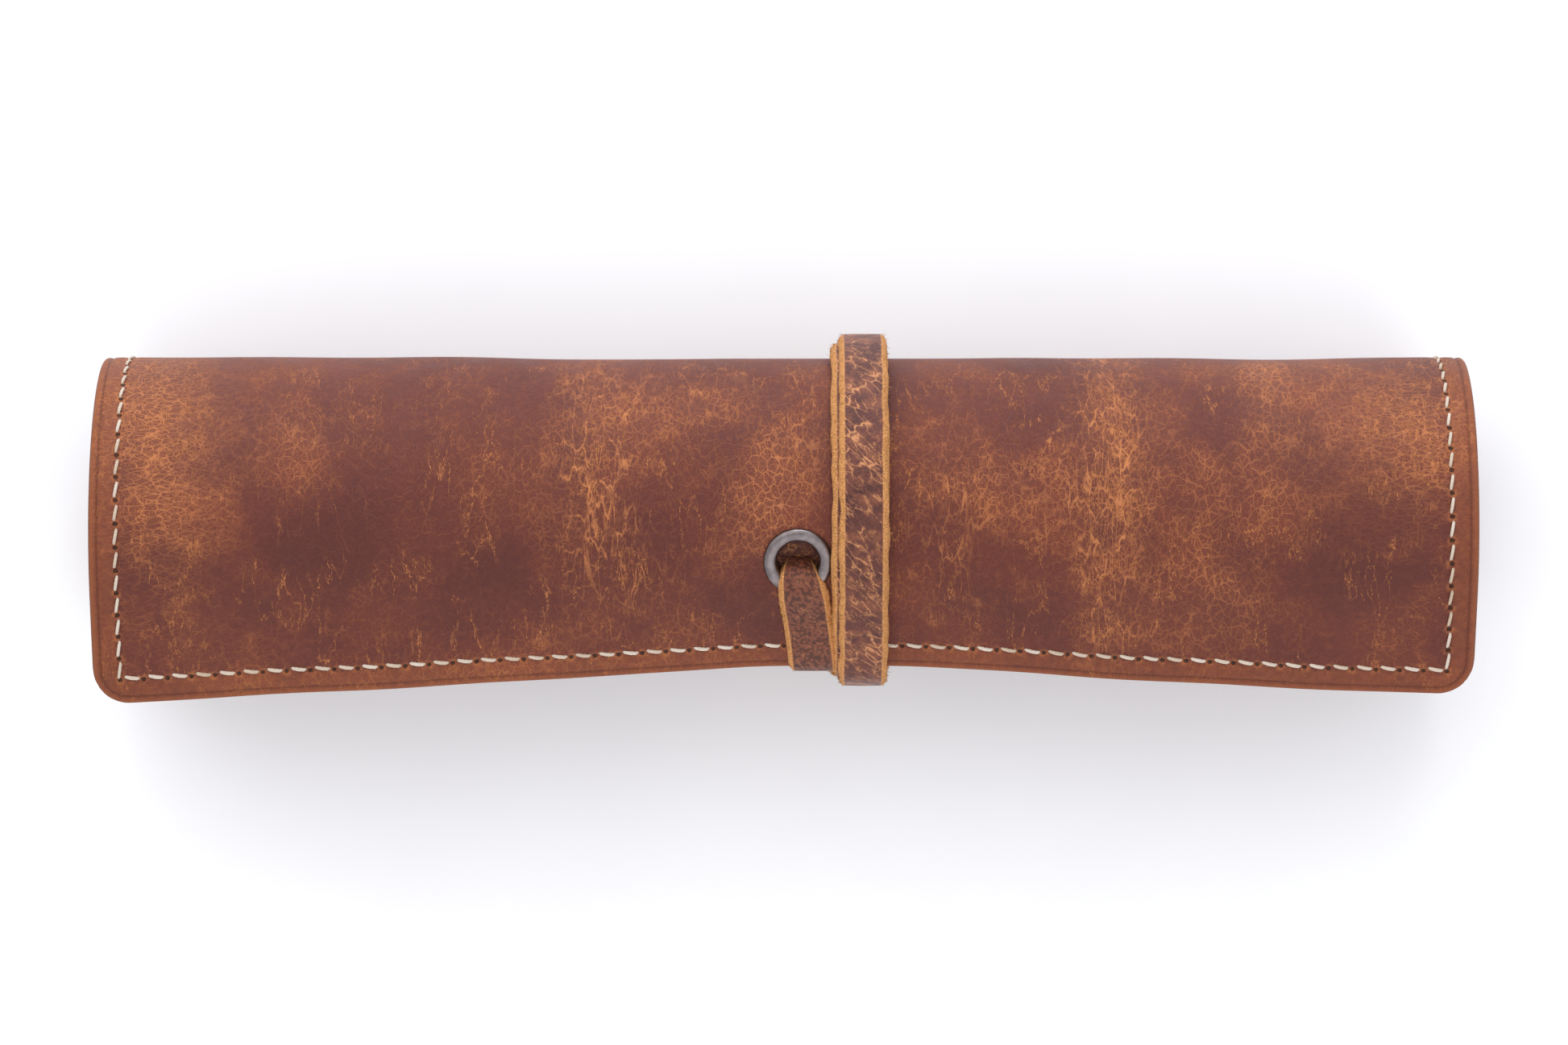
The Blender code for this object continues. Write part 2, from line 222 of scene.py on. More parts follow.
def outer_radius(angle, x):
    """The outer face of the sheet. The stiff flap leaves the roll and runs straight to its edge."""
    turn = np.radians(angle)
    bulge = SWELL_EVEN - SWELL_FRONT * np.cos(turn)
    straight = np.radians(np.maximum(angle - FLAP_LEAVES + FLAP_LEAVES_SOONER * swell(x), 0.0))
    sag = SAG_DOWN * np.maximum(-np.sin(turn), 0.0) ** 2
    sag = sag * ease((np.abs(x - WAIST_MIDDLE) - WAIST_HALF) / SAG_REACH)
    sag = sag * ease((angle - SAG_FADED) / SAG_FADE)
    return (waist_radius(angle) + swell(x) * bulge + sag) / np.cos(straight)


def give(angle, x):
    """The slight waviness of soft leather, none of it at the tied waist or on the table."""
    arc = np.radians(angle) * WAIST_RADIUS
    wave = sum(height * np.sin(x / across + arc / along + shift) for height, across, along, shift in WAVES)
    away = ease((np.abs(x - WAIST_MIDDLE) - WAIST_HALF) / WAVES_GROW_OVER)
    raised = ease((np.sin(np.radians(angle)) + 0.75) / 0.35)
    return wave * away * raised


def eyelet_flat(angle, x):
    """The sheet is pressed flat, and a little sunk, where the eyelet is set in it."""
    turn = np.radians(angle - EYELET_ANGLE)
    reach = np.hypot(turn * WAIST_RADIUS, x - EYELET_X)
    share = 1.0 - ease((reach - EYELET_FLANGE) / EYELET_PRESSES)
    close = np.clip(np.cos(np.clip(turn, -1.0, 1.0)), 0.5, 1.0)
    flat = WAIST_RADIUS * (1.0 / close - 1.0) - EYELET_SUNK
    return np.where(share > 0.0, share * flat, 0.0)


def sheet_points(angle, x, depth):
    """Points this deep under the sheet's outer face. The underside of the roll is pressed flat."""
    angle, x, depth = np.broadcast_arrays(angle, x, depth)
    turn = np.radians(angle)
    radius = outer_radius(angle, x) + give(angle, x) + eyelet_flat(angle, x) - depth
    y = AXIS_Y + radius * np.cos(turn)
    z = np.maximum(AXIS_Z + radius * np.sin(turn), np.maximum(depth, OFF_TABLE))
    return np.stack((x, y, z), axis=-1)


def arc_rate(angle, x):
    """Millimetres of sheet to one degree."""
    return np.radians(1.0) * outer_radius(angle, x)


def edge_angle(x):
    """The flap's edge lies a little further round at the waist than at the swollen ends."""
    return EDGE_ANGLE - EDGE_DRAWN_BACK * swell(x)


def polar(radius, angle, x=0.0):
    """The point at this radius and angle from the roll's axis, in metres."""
    turn = math.radians(angle)
    return Vector((x, AXIS_Y + radius * math.cos(turn), AXIS_Z + radius * math.sin(turn))) * MM


# ---------------------------------------------------------------- skins and pieces


def vertex_normals(points, quads):
    """Smooth normals of a whole skin, so that the cuts between its pieces don't show."""
    first, second, third, fourth = (points[quads[:, index]] for index in range(4))
    face_normals = np.cross(third - first, fourth - second)
    normals = np.zeros_like(points)
    for index in range(4):
        np.add.at(normals, quads[:, index], face_normals)
    lengths = np.linalg.norm(normals, axis=1, keepdims=True)
    return normals / np.maximum(lengths, 1e-9)


def make_piece(name, points, faces, material, uvs=None, values=None, normals=None, flat_from=None):
    """A mesh object from points in millimetres. Faces from flat_from on are cut ends, which shade flat."""
    used = np.unique(np.concatenate([np.asarray(face) for face in faces]))
    renumber = np.zeros(len(points), int)
    renumber[used] = np.arange(len(used))
    mesh = bpy.data.meshes.new(name)
    mesh.from_pydata((points[used] * MM).tolist(), [], [renumber[list(face)].tolist() for face in faces])
    corners = np.zeros(len(mesh.loops), int)
    mesh.loops.foreach_get("vertex_index", corners)
    corners = used[corners]
    for label, coordinates in (uvs or {}).items():
        layer = mesh.uv_layers.new(name=label)
        layer.data.foreach_set("uv", (coordinates[corners] * MM).astype(np.float32).ravel())
    for label, value in (values or {}).items():
        attribute = mesh.attributes.new(label, "FLOAT", "POINT")
        attribute.data.foreach_set("value", value[used].astype(np.float32))
    smooth = np.ones(len(mesh.polygons), bool)
    if flat_from is not None:
        smooth[flat_from:] = False
    mesh.polygons.foreach_set("use_smooth", smooth)
    mesh.materials.append(material)
    if normals is not None:
        loop_normals = normals[corners]
        starts = np.zeros(len(mesh.polygons), int)
        mesh.polygons.foreach_get("loop_start", starts)
        if flat_from is not None and flat_from < len(starts):
            loop_normals[starts[flat_from]:] = 0.0
        mesh.normals_split_custom_set(loop_normals.tolist())
    obj = bpy.data.objects.new(name, mesh)
    bpy.context.scene.collection.objects.link(obj)
    return obj


def edge_columns(low, high, steps, spacing):
    """Stations from low to high, close together at both edges."""
    inner_low = low + steps[-1]
    inner_high = high - steps[-1]
    count = max(1, math.ceil((inner_high - inner_low) / spacing))
    middle = np.linspace(inner_low, inner_high, count + 1)[1:-1]
    return np.concatenate((low + np.array(steps), middle, high - np.array(steps[::-1])))


def corner_inset(distance, radius):
    """How far a rounded corner has come in from the side, this far from the end of the sheet."""
    short = max(radius - distance, 0.0)
    return radius - math.sqrt(max(radius**2 - short**2, 0.0))


def sheet_grid(high, low, left, right, cuts, steps, spacing, turn_step, corner):
    """The angle and x of every point of one layer, its distance along the sheet, and the rows of the cuts.

    high is a function of x, or an angle, for the end nearer the flap. low is the other end's angle.
    """
    nominal = edge_columns(left, right, steps, spacing)
    band = steps[-1]
    rows_x = []
    rows_angle = []

    def add(distance, angles_of):
        inset = corner_inset(distance, corner)
        ends = [left, left + band, right - band, right]
        inner = [left + inset, left + band + inset, right - band - inset, right - inset]
        x = np.interp(nominal, ends, inner)
        rows_x.append(x)
        rows_angle.append(angles_of(x))

    def top_angle(x):
        return high(x) if callable(high) else np.full_like(x, high)

    for distance in steps:
        add(distance, lambda x: top_angle(x) - distance / arc_rate(top_angle(x), x))
    cut_rows = []
    for cut in list(cuts) + [None]:
        last = rows_angle[-1]
        if cut is None:
            target = low + steps[-1] / arc_rate(low, nominal)
        else:
            target = np.full_like(nominal, cut)
        count = max(1, math.ceil(float(np.mean(last - target)) / turn_step))
        for row in range(1, count + 1):
            between = last + (target - last) * row / count
            rows_x.append(nominal.copy())
            rows_angle.append(between)
        if cut is not None:
            cut_rows.append(len(rows_x) - 1)
    for distance in steps[-2::-1]:
        add(distance, lambda x: low + distance / arc_rate(low, x))
    x = np.array(rows_x)
    angle = np.array(rows_angle)
    face = sheet_points(angle, x, 0.0)[:, :, 1:]
    steps_along = np.linalg.norm(np.diff(face, axis=0), axis=2)
    along = np.concatenate((np.zeros((1, x.shape[1])), np.cumsum(steps_along, axis=0)))
    return angle, x, along, cut_rows


def rim_distance(x, along, left, right, corner):
    """How far each point is from the layer's outline, which has rounded corners."""
    side = np.minimum(x - left, right - x)
    end = np.minimum(along, along[-1] - along)
    rounded = corner - np.hypot(np.maximum(corner - side, 0.0), np.maximum(corner - end, 0.0))
    distance = np.where((side < corner) & (end < corner), rounded, np.minimum(side, end))
    distance[0] = 0.0
    distance[-1] = 0.0
    distance[:, 0] = 0.0
    distance[:, -1] = 0.0
    return np.maximum(distance, 0.0), side, end


# The four sides of a cell: which way the neighbour lies, and the side's two ends
CELL_SIDES = (
    ((-1, 0), (0, 0), (0, 1)),
    ((0, 1), (0, 1), (1, 1)),
    ((1, 0), (1, 1), (1, 0)),
    ((0, -1), (1, 0), (0, 0)),
)


class Layer:
    """One layer of the sheet as a closed skin with rounded rims, to be cut into pieces."""

    def __init__(self, grid, left, right, depths, corner, sewn, punched):
        self.angle, self.x, self.along, self.cut_rows = grid
        rim, side, end = rim_distance(self.x, self.along, left, right, corner)
        shallow, deep = depths
        half = (deep - shallow) / 2.0
        short = np.clip(half - rim, 0.0, half)
        drop = half - np.sqrt(np.maximum(half**2 - short**2, 0.0))
        pressed = np.zeros_like(rim)
        if sewn:
            line = np.abs(np.minimum(side, end) - SEAM_INSET)
            pressed = SEAM_PRESSED * np.exp(-((line / SEAM_PRESSED_HALF) ** 2))
            pressed += HEM_THINNED * (1.0 - ease(rim / HEM_THINNED_OVER))
            pressed += GROOVE_PRESSED * np.exp(-(((rim - RIM_GROOVE) / GROOVE_HALF) ** 2))
            pressed *= ease(rim)
        rows, columns = self.x.shape
        numbers = np.arange(rows * columns).reshape(rows, columns)
        self.keep = np.ones((rows - 1, columns - 1), bool)
        if punched:
            self.punch()
        outer = sheet_points(self.angle, self.x, shallow + drop + pressed * (shallow == 0.0))
        inner = sheet_points(self.angle, self.x, deep - drop)
        self.outer = numbers
        self.inner = numbers + rows * columns
        for edge in ((0, slice(None)), (-1, slice(None)), (slice(None), 0), (slice(None), -1)):
            self.inner[edge] = numbers[edge]
        self.points = np.concatenate((outer.reshape(-1, 3), inner.reshape(-1, 3)))
        self.normals = vertex_normals(self.points, np.array(self.quads(0, rows - 1)))
        flat = np.stack((self.x, self.along), axis=-1).reshape(-1, 2)
        core = np.stack((side, self.along[-1] - self.along), axis=-1).reshape(-1, 2)
        self.uvs = {"flat": np.concatenate((flat, flat)), "edges": np.concatenate((core, core))}
        self.values = {"rim": np.concatenate((rim.ravel(), rim.ravel()))}

    def punch(self):
        """Opens the hole for the eyelet, and moves the points round it onto a circle."""
        across = (self.angle - EYELET_ANGLE) * math.radians(1.0) * WAIST_RADIUS
        sideways = self.x - EYELET_X
        reach = np.hypot(across, sideways)
        middle = (reach[:-1, :-1] + reach[1:, :-1] + reach[:-1, 1:] + reach[1:, 1:]) / 4.0
        self.keep = middle > EYELET_PUNCH
        opened = np.zeros_like(reach, bool)
        for row, column in ((0, 0), (0, 1), (1, 0), (1, 1)):
            block = opened[row:row + self.keep.shape[0], column:column + self.keep.shape[1]]
            block |= ~self.keep
        scale = np.where(opened, EYELET_PUNCH / np.maximum(reach, 0.01), 1.0)
        self.angle = EYELET_ANGLE + (self.angle - EYELET_ANGLE) * scale
        self.x = EYELET_X + sideways * scale

    def quads(self, first, last):
        """The faces between two rows, on both sides of the layer."""
        faces = []
        outer = self.outer
        inner = self.inner
        for row in range(first, last):
            for column in np.nonzero(self.keep[row])[0]:
                cell = ((row, column), (row, column + 1), (row + 1, column + 1), (row + 1, column))
                faces.append([outer[corner] for corner in cell])
                faces.append([inner[corner] for corner in reversed(cell)])
        return faces

    def walls(self, first, last):
        """The walls round the eyelet's hole, and the flat ends where the layer is cut."""
        faces = []
        for row in range(first, last):
            for column in np.nonzero(~self.keep[row])[0]:
                for towards, start, end in CELL_SIDES:
                    if self.keep[row + towards[0], column + towards[1]]:
                        here = (row + start[0], column + start[1])
                        there = (row + end[0], column + end[1])
                        wall = [self.outer[here], self.outer[there]]
                        faces.append(wall + [self.inner[there], self.inner[here]])
        for row, is_open, turned in ((first, first > 0, False), (last, last < len(self.outer) - 1, True)):
            if not is_open:
                continue
            for column in range(self.outer.shape[1] - 1):
                face = [self.outer[row, column], self.inner[row, column]]
                face += [self.inner[row, column + 1], self.outer[row, column + 1]]
                face = list(dict.fromkeys(face))
                faces.append(face[::-1] if turned else face)
        return faces

    def piece(self, name, first, last, material):
        quads = self.quads(first, last)
        walls = self.walls(first, last)
        return make_piece(
            name, self.points, quads + walls, material, self.uvs, self.values, self.normals, len(quads)
        )


def sheet_blend(obj):
    """Bakes a piece's transform into its mesh."""
    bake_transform(obj)


# ---------------------------------------------------------------- materials


def srgb(red, green, blue):
    """A colour given as screen values from 0 to 255."""
    linear = [((part / 255.0 + 0.055) / 1.055) ** 2.4 for part in (red, green, blue)]
    return (*linear, 1.0)


class Graph:
    """A node material, with short calls for the nodes that the leathers share."""

    def __init__(self, name):
        self.material = bpy.data.materials.new(name)
        self.material.use_nodes = True
        self.tree = self.material.node_tree
        self.shader = self.tree.nodes["Principled BSDF"]

    def add(self, kind, inputs, **settings):
        node = self.tree.nodes.new("ShaderNode" + kind)
        for key, value in settings.items():
            setattr(node, key, value)
        for key, value in inputs.items():
            self.feed(node.inputs[key], value)
        return node

    def feed(self, socket, value):
        if isinstance(value, bpy.types.NodeSocket):
            self.tree.links.new(value, socket)
        else:
            socket.default_value = value

    def calc(self, operation, first, second=0.0, third=0.0):
        inputs = {0: first, 1: second, 2: third}
        return self.add("Math", inputs, operation=operation).outputs[0]

    def times(self, first, second):
        return self.calc("MULTIPLY", first, second)

    def plus(self, first, second):
        return self.calc("ADD", first, second)

    def minus(self, first, second):
        return self.calc("SUBTRACT", first, second)

    def most(self, first, second):
        return self.calc("MAXIMUM", first, second)

    def fade(self, value, low, high, to_low=0.0, to_high=1.0):
        """Eases from to_low to to_high as the value goes from low to high."""
        inputs = {"Value": value, "From Min": low, "From Max": high, "To Min": to_low, "To Max": to_high}
        return self.add("MapRange", inputs, interpolation_type="SMOOTHSTEP").outputs[0]

    def mix(self, share, first, second):
        node = self.add("Mix", {0: share, 6: first, 7: second}, data_type="RGBA")
        return node.outputs[2]

    def flat(self, name="flat"):
        """A UV map in millimetres of flat leather."""
        place = self.add("UVMap", {}, uv_map=name).outputs[0]
        return self.scaled(place, 1.0 / MM, 1.0 / MM)

    def scaled(self, vector, across, along):
        node = self.add("VectorMath", {0: vector, 1: (across, along, 1.0)}, operation="MULTIPLY")
        return node.outputs[0]

    def turned(self, vector, angle):
        inputs = {"Vector": vector, "Angle": angle}
        return self.add("VectorRotate", inputs, rotation_type="Z_AXIS").outputs[0]

    def parts(self, vector):
        node = self.add("SeparateXYZ", {0: vector})
        return node.outputs[0], node.outputs[1]

    def noise(self, vector, scale, detail=2.0, roughness=0.5, distortion=0.0):
        inputs = {"Vector": vector, "Scale": scale, "Detail": detail, "Roughness": roughness}
        inputs["Distortion"] = distortion
        return self.add("TexNoise", inputs).outputs[0]

    def warped(self, vector, scale, amount, detail=2.0):
        """The vector pushed about by a noise of this many millimetres."""
        inputs = {"Vector": vector, "Scale": scale, "Detail": detail}
        push = self.add("TexNoise", inputs).outputs[1]
        centred = self.add("VectorMath", {0: push, 1: (0.5, 0.5, 0.5)}, operation="SUBTRACT").outputs[0]
        sized = self.add("VectorMath", {0: centred, 3: amount}, operation="SCALE").outputs[0]
        return self.add("VectorMath", {0: vector, 1: sized}, operation="ADD").outputs[0]

    def cells(self, vector, scale, feature="DISTANCE_TO_EDGE"):
        return self.add("TexVoronoi", {"Vector": vector, "Scale": scale}, feature=feature).outputs[0]

    def value(self, name):
        return self.add("Attribute", {}, attribute_name=name).outputs["Fac"]

    def bump(self, height, distance, below=None):
        inputs = {"Height": height, "Distance": distance, "Strength": 1.0}
        if below is not None:
            inputs["Normal"] = below
        return self.add("Bump", inputs).outputs[0]

    def finish(self, colour, roughness, normal, **levels):
        """Sets the shader: levels are numbers on its own sockets."""
        self.feed(self.shader.inputs["Base Color"], colour)
        self.feed(self.shader.inputs["Roughness"], roughness)
        self.feed(self.shader.inputs["Normal"], normal)
        for label, level in levels.items():
            self.shader.inputs[label.replace("_", " ")].default_value = level
        return self.material


def vein_network(graph, place, width, length, thin, offset):
    """Fine branching lines between cells of this size, stretched along the sheet."""
    moved = graph.add("VectorMath", {0: place, 1: (offset, offset * 0.7, 0.0)}, operation="ADD").outputs[0]
    stretched = graph.scaled(moved, 1.0 / width, 1.0 / length)
    distance = graph.cells(graph.warped(stretched, 1.1, 0.8, 5.0), 1.0)
    return graph.fade(distance, thin, 0.0)


def ridge_lines(graph, place, scale, stretch, thin, offset):
    """Long wandering lines, where a noise passes through its middle."""
    moved = graph.add("VectorMath", {0: place, 1: (offset, -offset, 0.0)}, operation="ADD").outputs[0]
    stretched = graph.scaled(moved, scale, scale * stretch)
    level = graph.noise(stretched, 1.0, 6.0, 0.62, 0.25)
    away = graph.calc("ABSOLUTE", graph.minus(level, 0.5))
    return graph.fade(away, thin, 0.0)


def outer_leather(name):
    """Waxed pull-up leather: dark red-brown, paler where it is stretched, with fine tan veins."""
    graph = Graph(name)
    place = graph.flat()
    across, along = graph.parts(place)
    side, core = graph.parts(graph.flat("edges"))
    soft = graph.warped(place, 0.06, 9.0, 3.0)
    cloud = graph.noise(soft, 0.05, 4.0, 0.55)
    patch = graph.noise(place, 0.16, 4.0, 0.6)
    mottle = graph.noise(place, 0.8, 5.0, 0.7)
    deep = srgb(85, 36, 31)
    brown = srgb(100, 43, 31)
    russet = srgb(124, 59, 37)
    tan = srgb(146, 79, 43)
    pale = srgb(192, 120, 70)
    colour = graph.mix(graph.fade(cloud, 0.3, 0.7), deep, brown)
    colour = graph.mix(graph.fade(mottle, 0.46, 0.70, 0.0, 0.26), colour, russet)

    near_side = graph.fade(side, 42.0, 4.0)
    crackle = graph.warped(graph.scaled(place, 1.0, 0.62), 0.7, 0.9, 3.0)
    crackle = graph.fade(graph.cells(crackle, 0.8), 0.10, 0.0)
    wrinkles = graph.warped(graph.scaled(place, 0.5, 1.2), 0.7, 0.9, 3.0)
    wrinkles = graph.fade(graph.cells(wrinkles, 0.85), 0.10, 0.0)
    crumbs = graph.fade(graph.cells(graph.warped(place, 1.7, 0.4), 2.3), 0.18, 0.0)
    network = graph.mix(near_side, crackle, wrinkles)
    network = graph.most(network, graph.times(crumbs, 0.5))
    pulled = graph.plus(graph.value("pulled"), graph.fade(patch, 0.3, 0.7, -0.12, 0.1))
    stretched = graph.fade(pulled, 0.0, 1.2, 0.0, 0.42)
    colour = graph.mix(stretched, colour, graph.mix(0.35, russet, tan))
    hairline = graph.plus(pulled, graph.fade(cloud, 0.4, 0.65, 0.0, 0.2))
    hairline = graph.fade(hairline, -0.05, 0.9, 0.08, 0.9)
    colour = graph.mix(graph.times(network, hairline), colour, pale)
    # Darkens the smudge patches: partly smudges, partly painted shade near the waist.
    smudge_and_shade = graph.plus(graph.value("smudges_and_shade"), graph.fade(cloud, 0.3, 0.7, 0.12, -0.12))
    colour = graph.mix(graph.fade(smudge_and_shade, 0.1, 1.0, 0.0, 0.55), colour, srgb(74, 32, 30))

    veined = graph.plus(graph.value("veined"), graph.fade(patch, 0.4, 0.7, -0.15, 0.2))
    breaks = graph.noise(place, 0.35, 3.0, 0.6)
    broken = graph.times(graph.fade(breaks, 0.36, 0.56), graph.fade(veined, 0.0, 0.85))
    large = vein_network(graph, place, 2.5, 9.0, 0.045, 0.0)
    small = vein_network(graph, place, 1.2, 4.2, 0.07, 31.0)
    long_lines = ridge_lines(graph, place, 0.15, 0.28, 0.007, 57.0)
    short_lines = ridge_lines(graph, place, 0.40, 0.36, 0.019, 83.0)
    veins = graph.times(large, broken)
    veins = graph.most(veins, graph.times(short_lines, broken))
    dense = graph.times(graph.fade(veined, 0.4, 1.15), small)
    veins = graph.most(veins, graph.times(dense, 0.8))
    sparse = graph.fade(graph.noise(place, 0.08, 2.0), 0.42, 0.6, 0.0, 0.85)
    veins = graph.most(veins, graph.times(long_lines, sparse))
    colour = graph.mix(graph.times(veins, 0.95), colour, pale)

    scratch_place = graph.turned(place, 0.5)
    scratch = graph.noise(graph.scaled(scratch_place, 1.9, 0.045), 1.0, 3.0, 0.55)
    where = graph.fade(graph.noise(place, 0.05, 1.0), 0.5, 0.66)
    scratches = graph.times(graph.fade(scratch, 0.70, 0.78), where)
    colour = graph.mix(graph.times(scratches, 0.35), colour, pale)

    pores = graph.fade(graph.noise(place, 5.0, 2.0, 0.7), 0.58, 0.70)
    colour = graph.mix(graph.times(pores, 0.42), colour, srgb(50, 20, 14))
    dust = graph.fade(graph.noise(place, 7.5, 2.0, 0.7), 0.60, 0.72)
    colour = graph.mix(graph.times(dust, 0.28), colour, pale)

    rim = graph.value("rim")
    hem = graph.fade(rim, SEAM_INSET + 0.6, SEAM_INSET - 1.0, 0.0, 0.4)
    hem = graph.times(hem, graph.fade(mottle, 0.3, 0.62, 0.45, 1.0))
    colour = graph.mix(hem, colour, tan)
    # Painted shade along the creased groove near the edge.
    groove = graph.calc("ABSOLUTE", graph.minus(rim, RIM_GROOVE))
    colour = graph.mix(graph.fade(groove, 0.35, 0.0, 0.0, 0.45), colour, srgb(66, 28, 16))
    # A lighter band where the edge rounds over: partly wear, partly a painted highlight on the rounded
    # rim.
    lighter_rim = graph.fade(rim, RIM_GROOVE - 0.15, 0.5, 0.0, 0.6)
    colour = graph.mix(lighter_rim, colour, srgb(142, 80, 46))
    raw = graph.fade(rim, 0.35, 0.05, 0.0, 0.6)
    colour = graph.mix(raw, colour, srgb(84, 42, 24))

    holes, halo = needle_holes(graph, across, along, side, core)
    halo = graph.times(halo, graph.fade(mottle, 0.42, 0.6, 0.1, 0.7))
    colour = graph.mix(halo, colour, srgb(168, 100, 56))
    # The holes are painted dark: painted shade inside each needle hole.
    colour = graph.mix(graph.times(holes, 0.92), colour, srgb(40, 20, 14))

    height = graph.times(graph.minus(1.0, network), 0.4)
    height = graph.plus(height, graph.times(mottle, 0.7))
    height = graph.minus(height, graph.times(veins, 0.5))
    height = graph.minus(height, graph.times(holes, 2.2))
    height = graph.plus(height, graph.times(graph.noise(place, 4.0, 2.0), 0.35))
    normal = graph.bump(height, 0.00015)
    roughness = graph.fade(patch, 0.3, 0.7, 0.45, 0.56)
    roughness = graph.plus(roughness, graph.times(network, 0.08))
    return graph.finish(colour, roughness, normal, Specular_IOR_Level=0.26)


def needle_holes(graph, across, along, side, core):
    """A hole at each end of every stitch of the border seam, painted dark as painted shade, and the worn
    leather round it.
    """
    from_flap = graph.minus(along, SEAM_INSET)
    from_core = graph.minus(core, SEAM_INSET)
    from_side = graph.minus(side, SEAM_INSET)
    inside_ends = graph.calc("MINIMUM", from_flap, from_core)
    found = []
    for offset, run, other in ((from_side, from_flap, inside_ends), (inside_ends, across, from_side)):
        shifted = graph.calc("DIVIDE", run, STITCH_PITCH)
        if run == across:
            shifted = graph.plus(shifted, SEAM_STITCHES / 2.0)
        nearest = graph.calc("ABSOLUTE", graph.minus(shifted, graph.calc("ROUND", shifted)))
        reach = graph.times(nearest, STITCH_PITCH)
        squares = graph.plus(graph.calc("POWER", reach, 2.0), graph.calc("POWER", offset, 2.0))
        distance = graph.calc("SQRT", squares)
        on_seam = graph.calc("GREATER_THAN", other, -0.6)
        hole = graph.times(graph.fade(distance, 0.5, 0.22), on_seam)
        halo = graph.times(graph.fade(distance, 1.3, 0.4), on_seam)
        found.append((hole, halo))
    holes = graph.most(found[0][0], found[1][0])
    halo = graph.most(found[0][1], found[1][1])
    return holes, halo


def inner_leather(name, low, high, nap):
    """The split leather of the lining and pockets: matt, with a fine nap."""
    graph = Graph(name)
    place = graph.flat()
    cloud = graph.noise(place, 0.06, 4.0, 0.6)
    fibre = graph.noise(graph.warped(place, 0.8, 1.5), 3.2, 4.0, 0.7)
    colour = graph.mix(graph.fade(cloud, 0.3, 0.7), low, high)
    colour = graph.mix(graph.fade(fibre, 0.35, 0.7, 0.0, 0.35), colour, high)
    lighter_rim = graph.fade(graph.value("rim"), 1.6, 0.3, 0.0, 0.5)
    colour = graph.mix(lighter_rim, colour, srgb(120, 74, 44))
    normal = graph.bump(fibre, nap)
    return graph.finish(colour, graph.fade(fibre, 0.3, 0.7, 0.68, 0.84), normal, Specular_IOR_Level=0.25)


def strap_leather(name):
    """The strap: dark waxed faces crossed by tan creases, and raw tan edges."""
    graph = Graph(name)
    place = graph.flat()
    cloud = graph.noise(place, 0.10, 4.0, 0.6)
    patch = graph.noise(place, 0.32, 4.0, 0.65)
    tail = graph.value("tail")
    colour = graph.mix(graph.fade(cloud, 0.35, 0.65), srgb(76, 38, 34), srgb(104, 56, 45))
    colour = graph.mix(graph.fade(patch, 0.42, 0.66, 0.0, 0.6), colour, srgb(146, 86, 58))
    colour = graph.mix(graph.times(tail, 0.75), colour, srgb(120, 66, 45))
    slanted = graph.turned(place, 0.75)
    creases = ridge_lines(graph, slanted, 0.22, 0.30, 0.009, 12.0)
    crossing = vein_network(graph, slanted, 1.6, 4.0, 0.075, 40.0)
    where = graph.fade(graph.noise(place, 0.16, 3.0, 0.6), 0.43, 0.58)
    marks = graph.most(creases, graph.times(crossing, where))
    marks = graph.times(marks, graph.calc("MULTIPLY_ADD", tail, -0.75, 1.0))
    colour = graph.mix(graph.times(marks, 0.95), colour, srgb(202, 138, 92))
    pebbles = graph.cells(graph.warped(place, 1.2, 0.5), 1.7, "F1")
    hollows = graph.fade(pebbles, 0.42, 0.72)
    # Painted shade in the hollows between the pebbles of the grain, stronger on the tail.
    darker = graph.times(hollows, graph.calc("MULTIPLY_ADD", tail, 0.45, 0.2))
    colour = graph.mix(darker, colour, srgb(44, 20, 15))
    raw = graph.value("raw")
    fibre = graph.noise(graph.scaled(place, 2.5, 6.0), 1.0, 4.0, 0.75)
    flesh = graph.mix(graph.fade(fibre, 0.3, 0.68), srgb(146, 88, 46), srgb(226, 166, 102))
    colour = graph.mix(graph.fade(raw, 0.15, 0.55), colour, flesh)
    height = graph.plus(graph.times(pebbles, -0.9), graph.times(fibre, 0.35))
    height = graph.minus(height, graph.times(marks, 0.35))
    normal = graph.bump(height, 0.00018)
    roughness = graph.fade(raw, 0.2, 0.8, 0.46, 0.88)
    return graph.finish(colour, roughness, normal, Specular_IOR_Level=0.28)


def thread_material(name):
    """Waxed cream thread: fine twisted plies, a little soiled in places."""
    graph = Graph(name)
    place = graph.flat()
    across, along = graph.parts(place)
    twist = graph.plus(graph.times(across, 9.0), graph.times(along, 5.0))
    ply = graph.calc("SINE", twist)
    soil = graph.noise(graph.flat("place"), 0.35, 3.0, 0.6)
    colour = graph.mix(graph.fade(soil, 0.35, 0.75), srgb(226, 212, 196), srgb(196, 170, 142))
    # Painted shade in the grooves between the twisted plies.
    colour = graph.mix(graph.fade(ply, -0.2, -1.0, 0.0, 0.3), colour, srgb(150, 112, 74))
    normal = graph.bump(ply, 0.00005)
    return graph.finish(colour, 0.62, normal, Specular_IOR_Level=0.3)


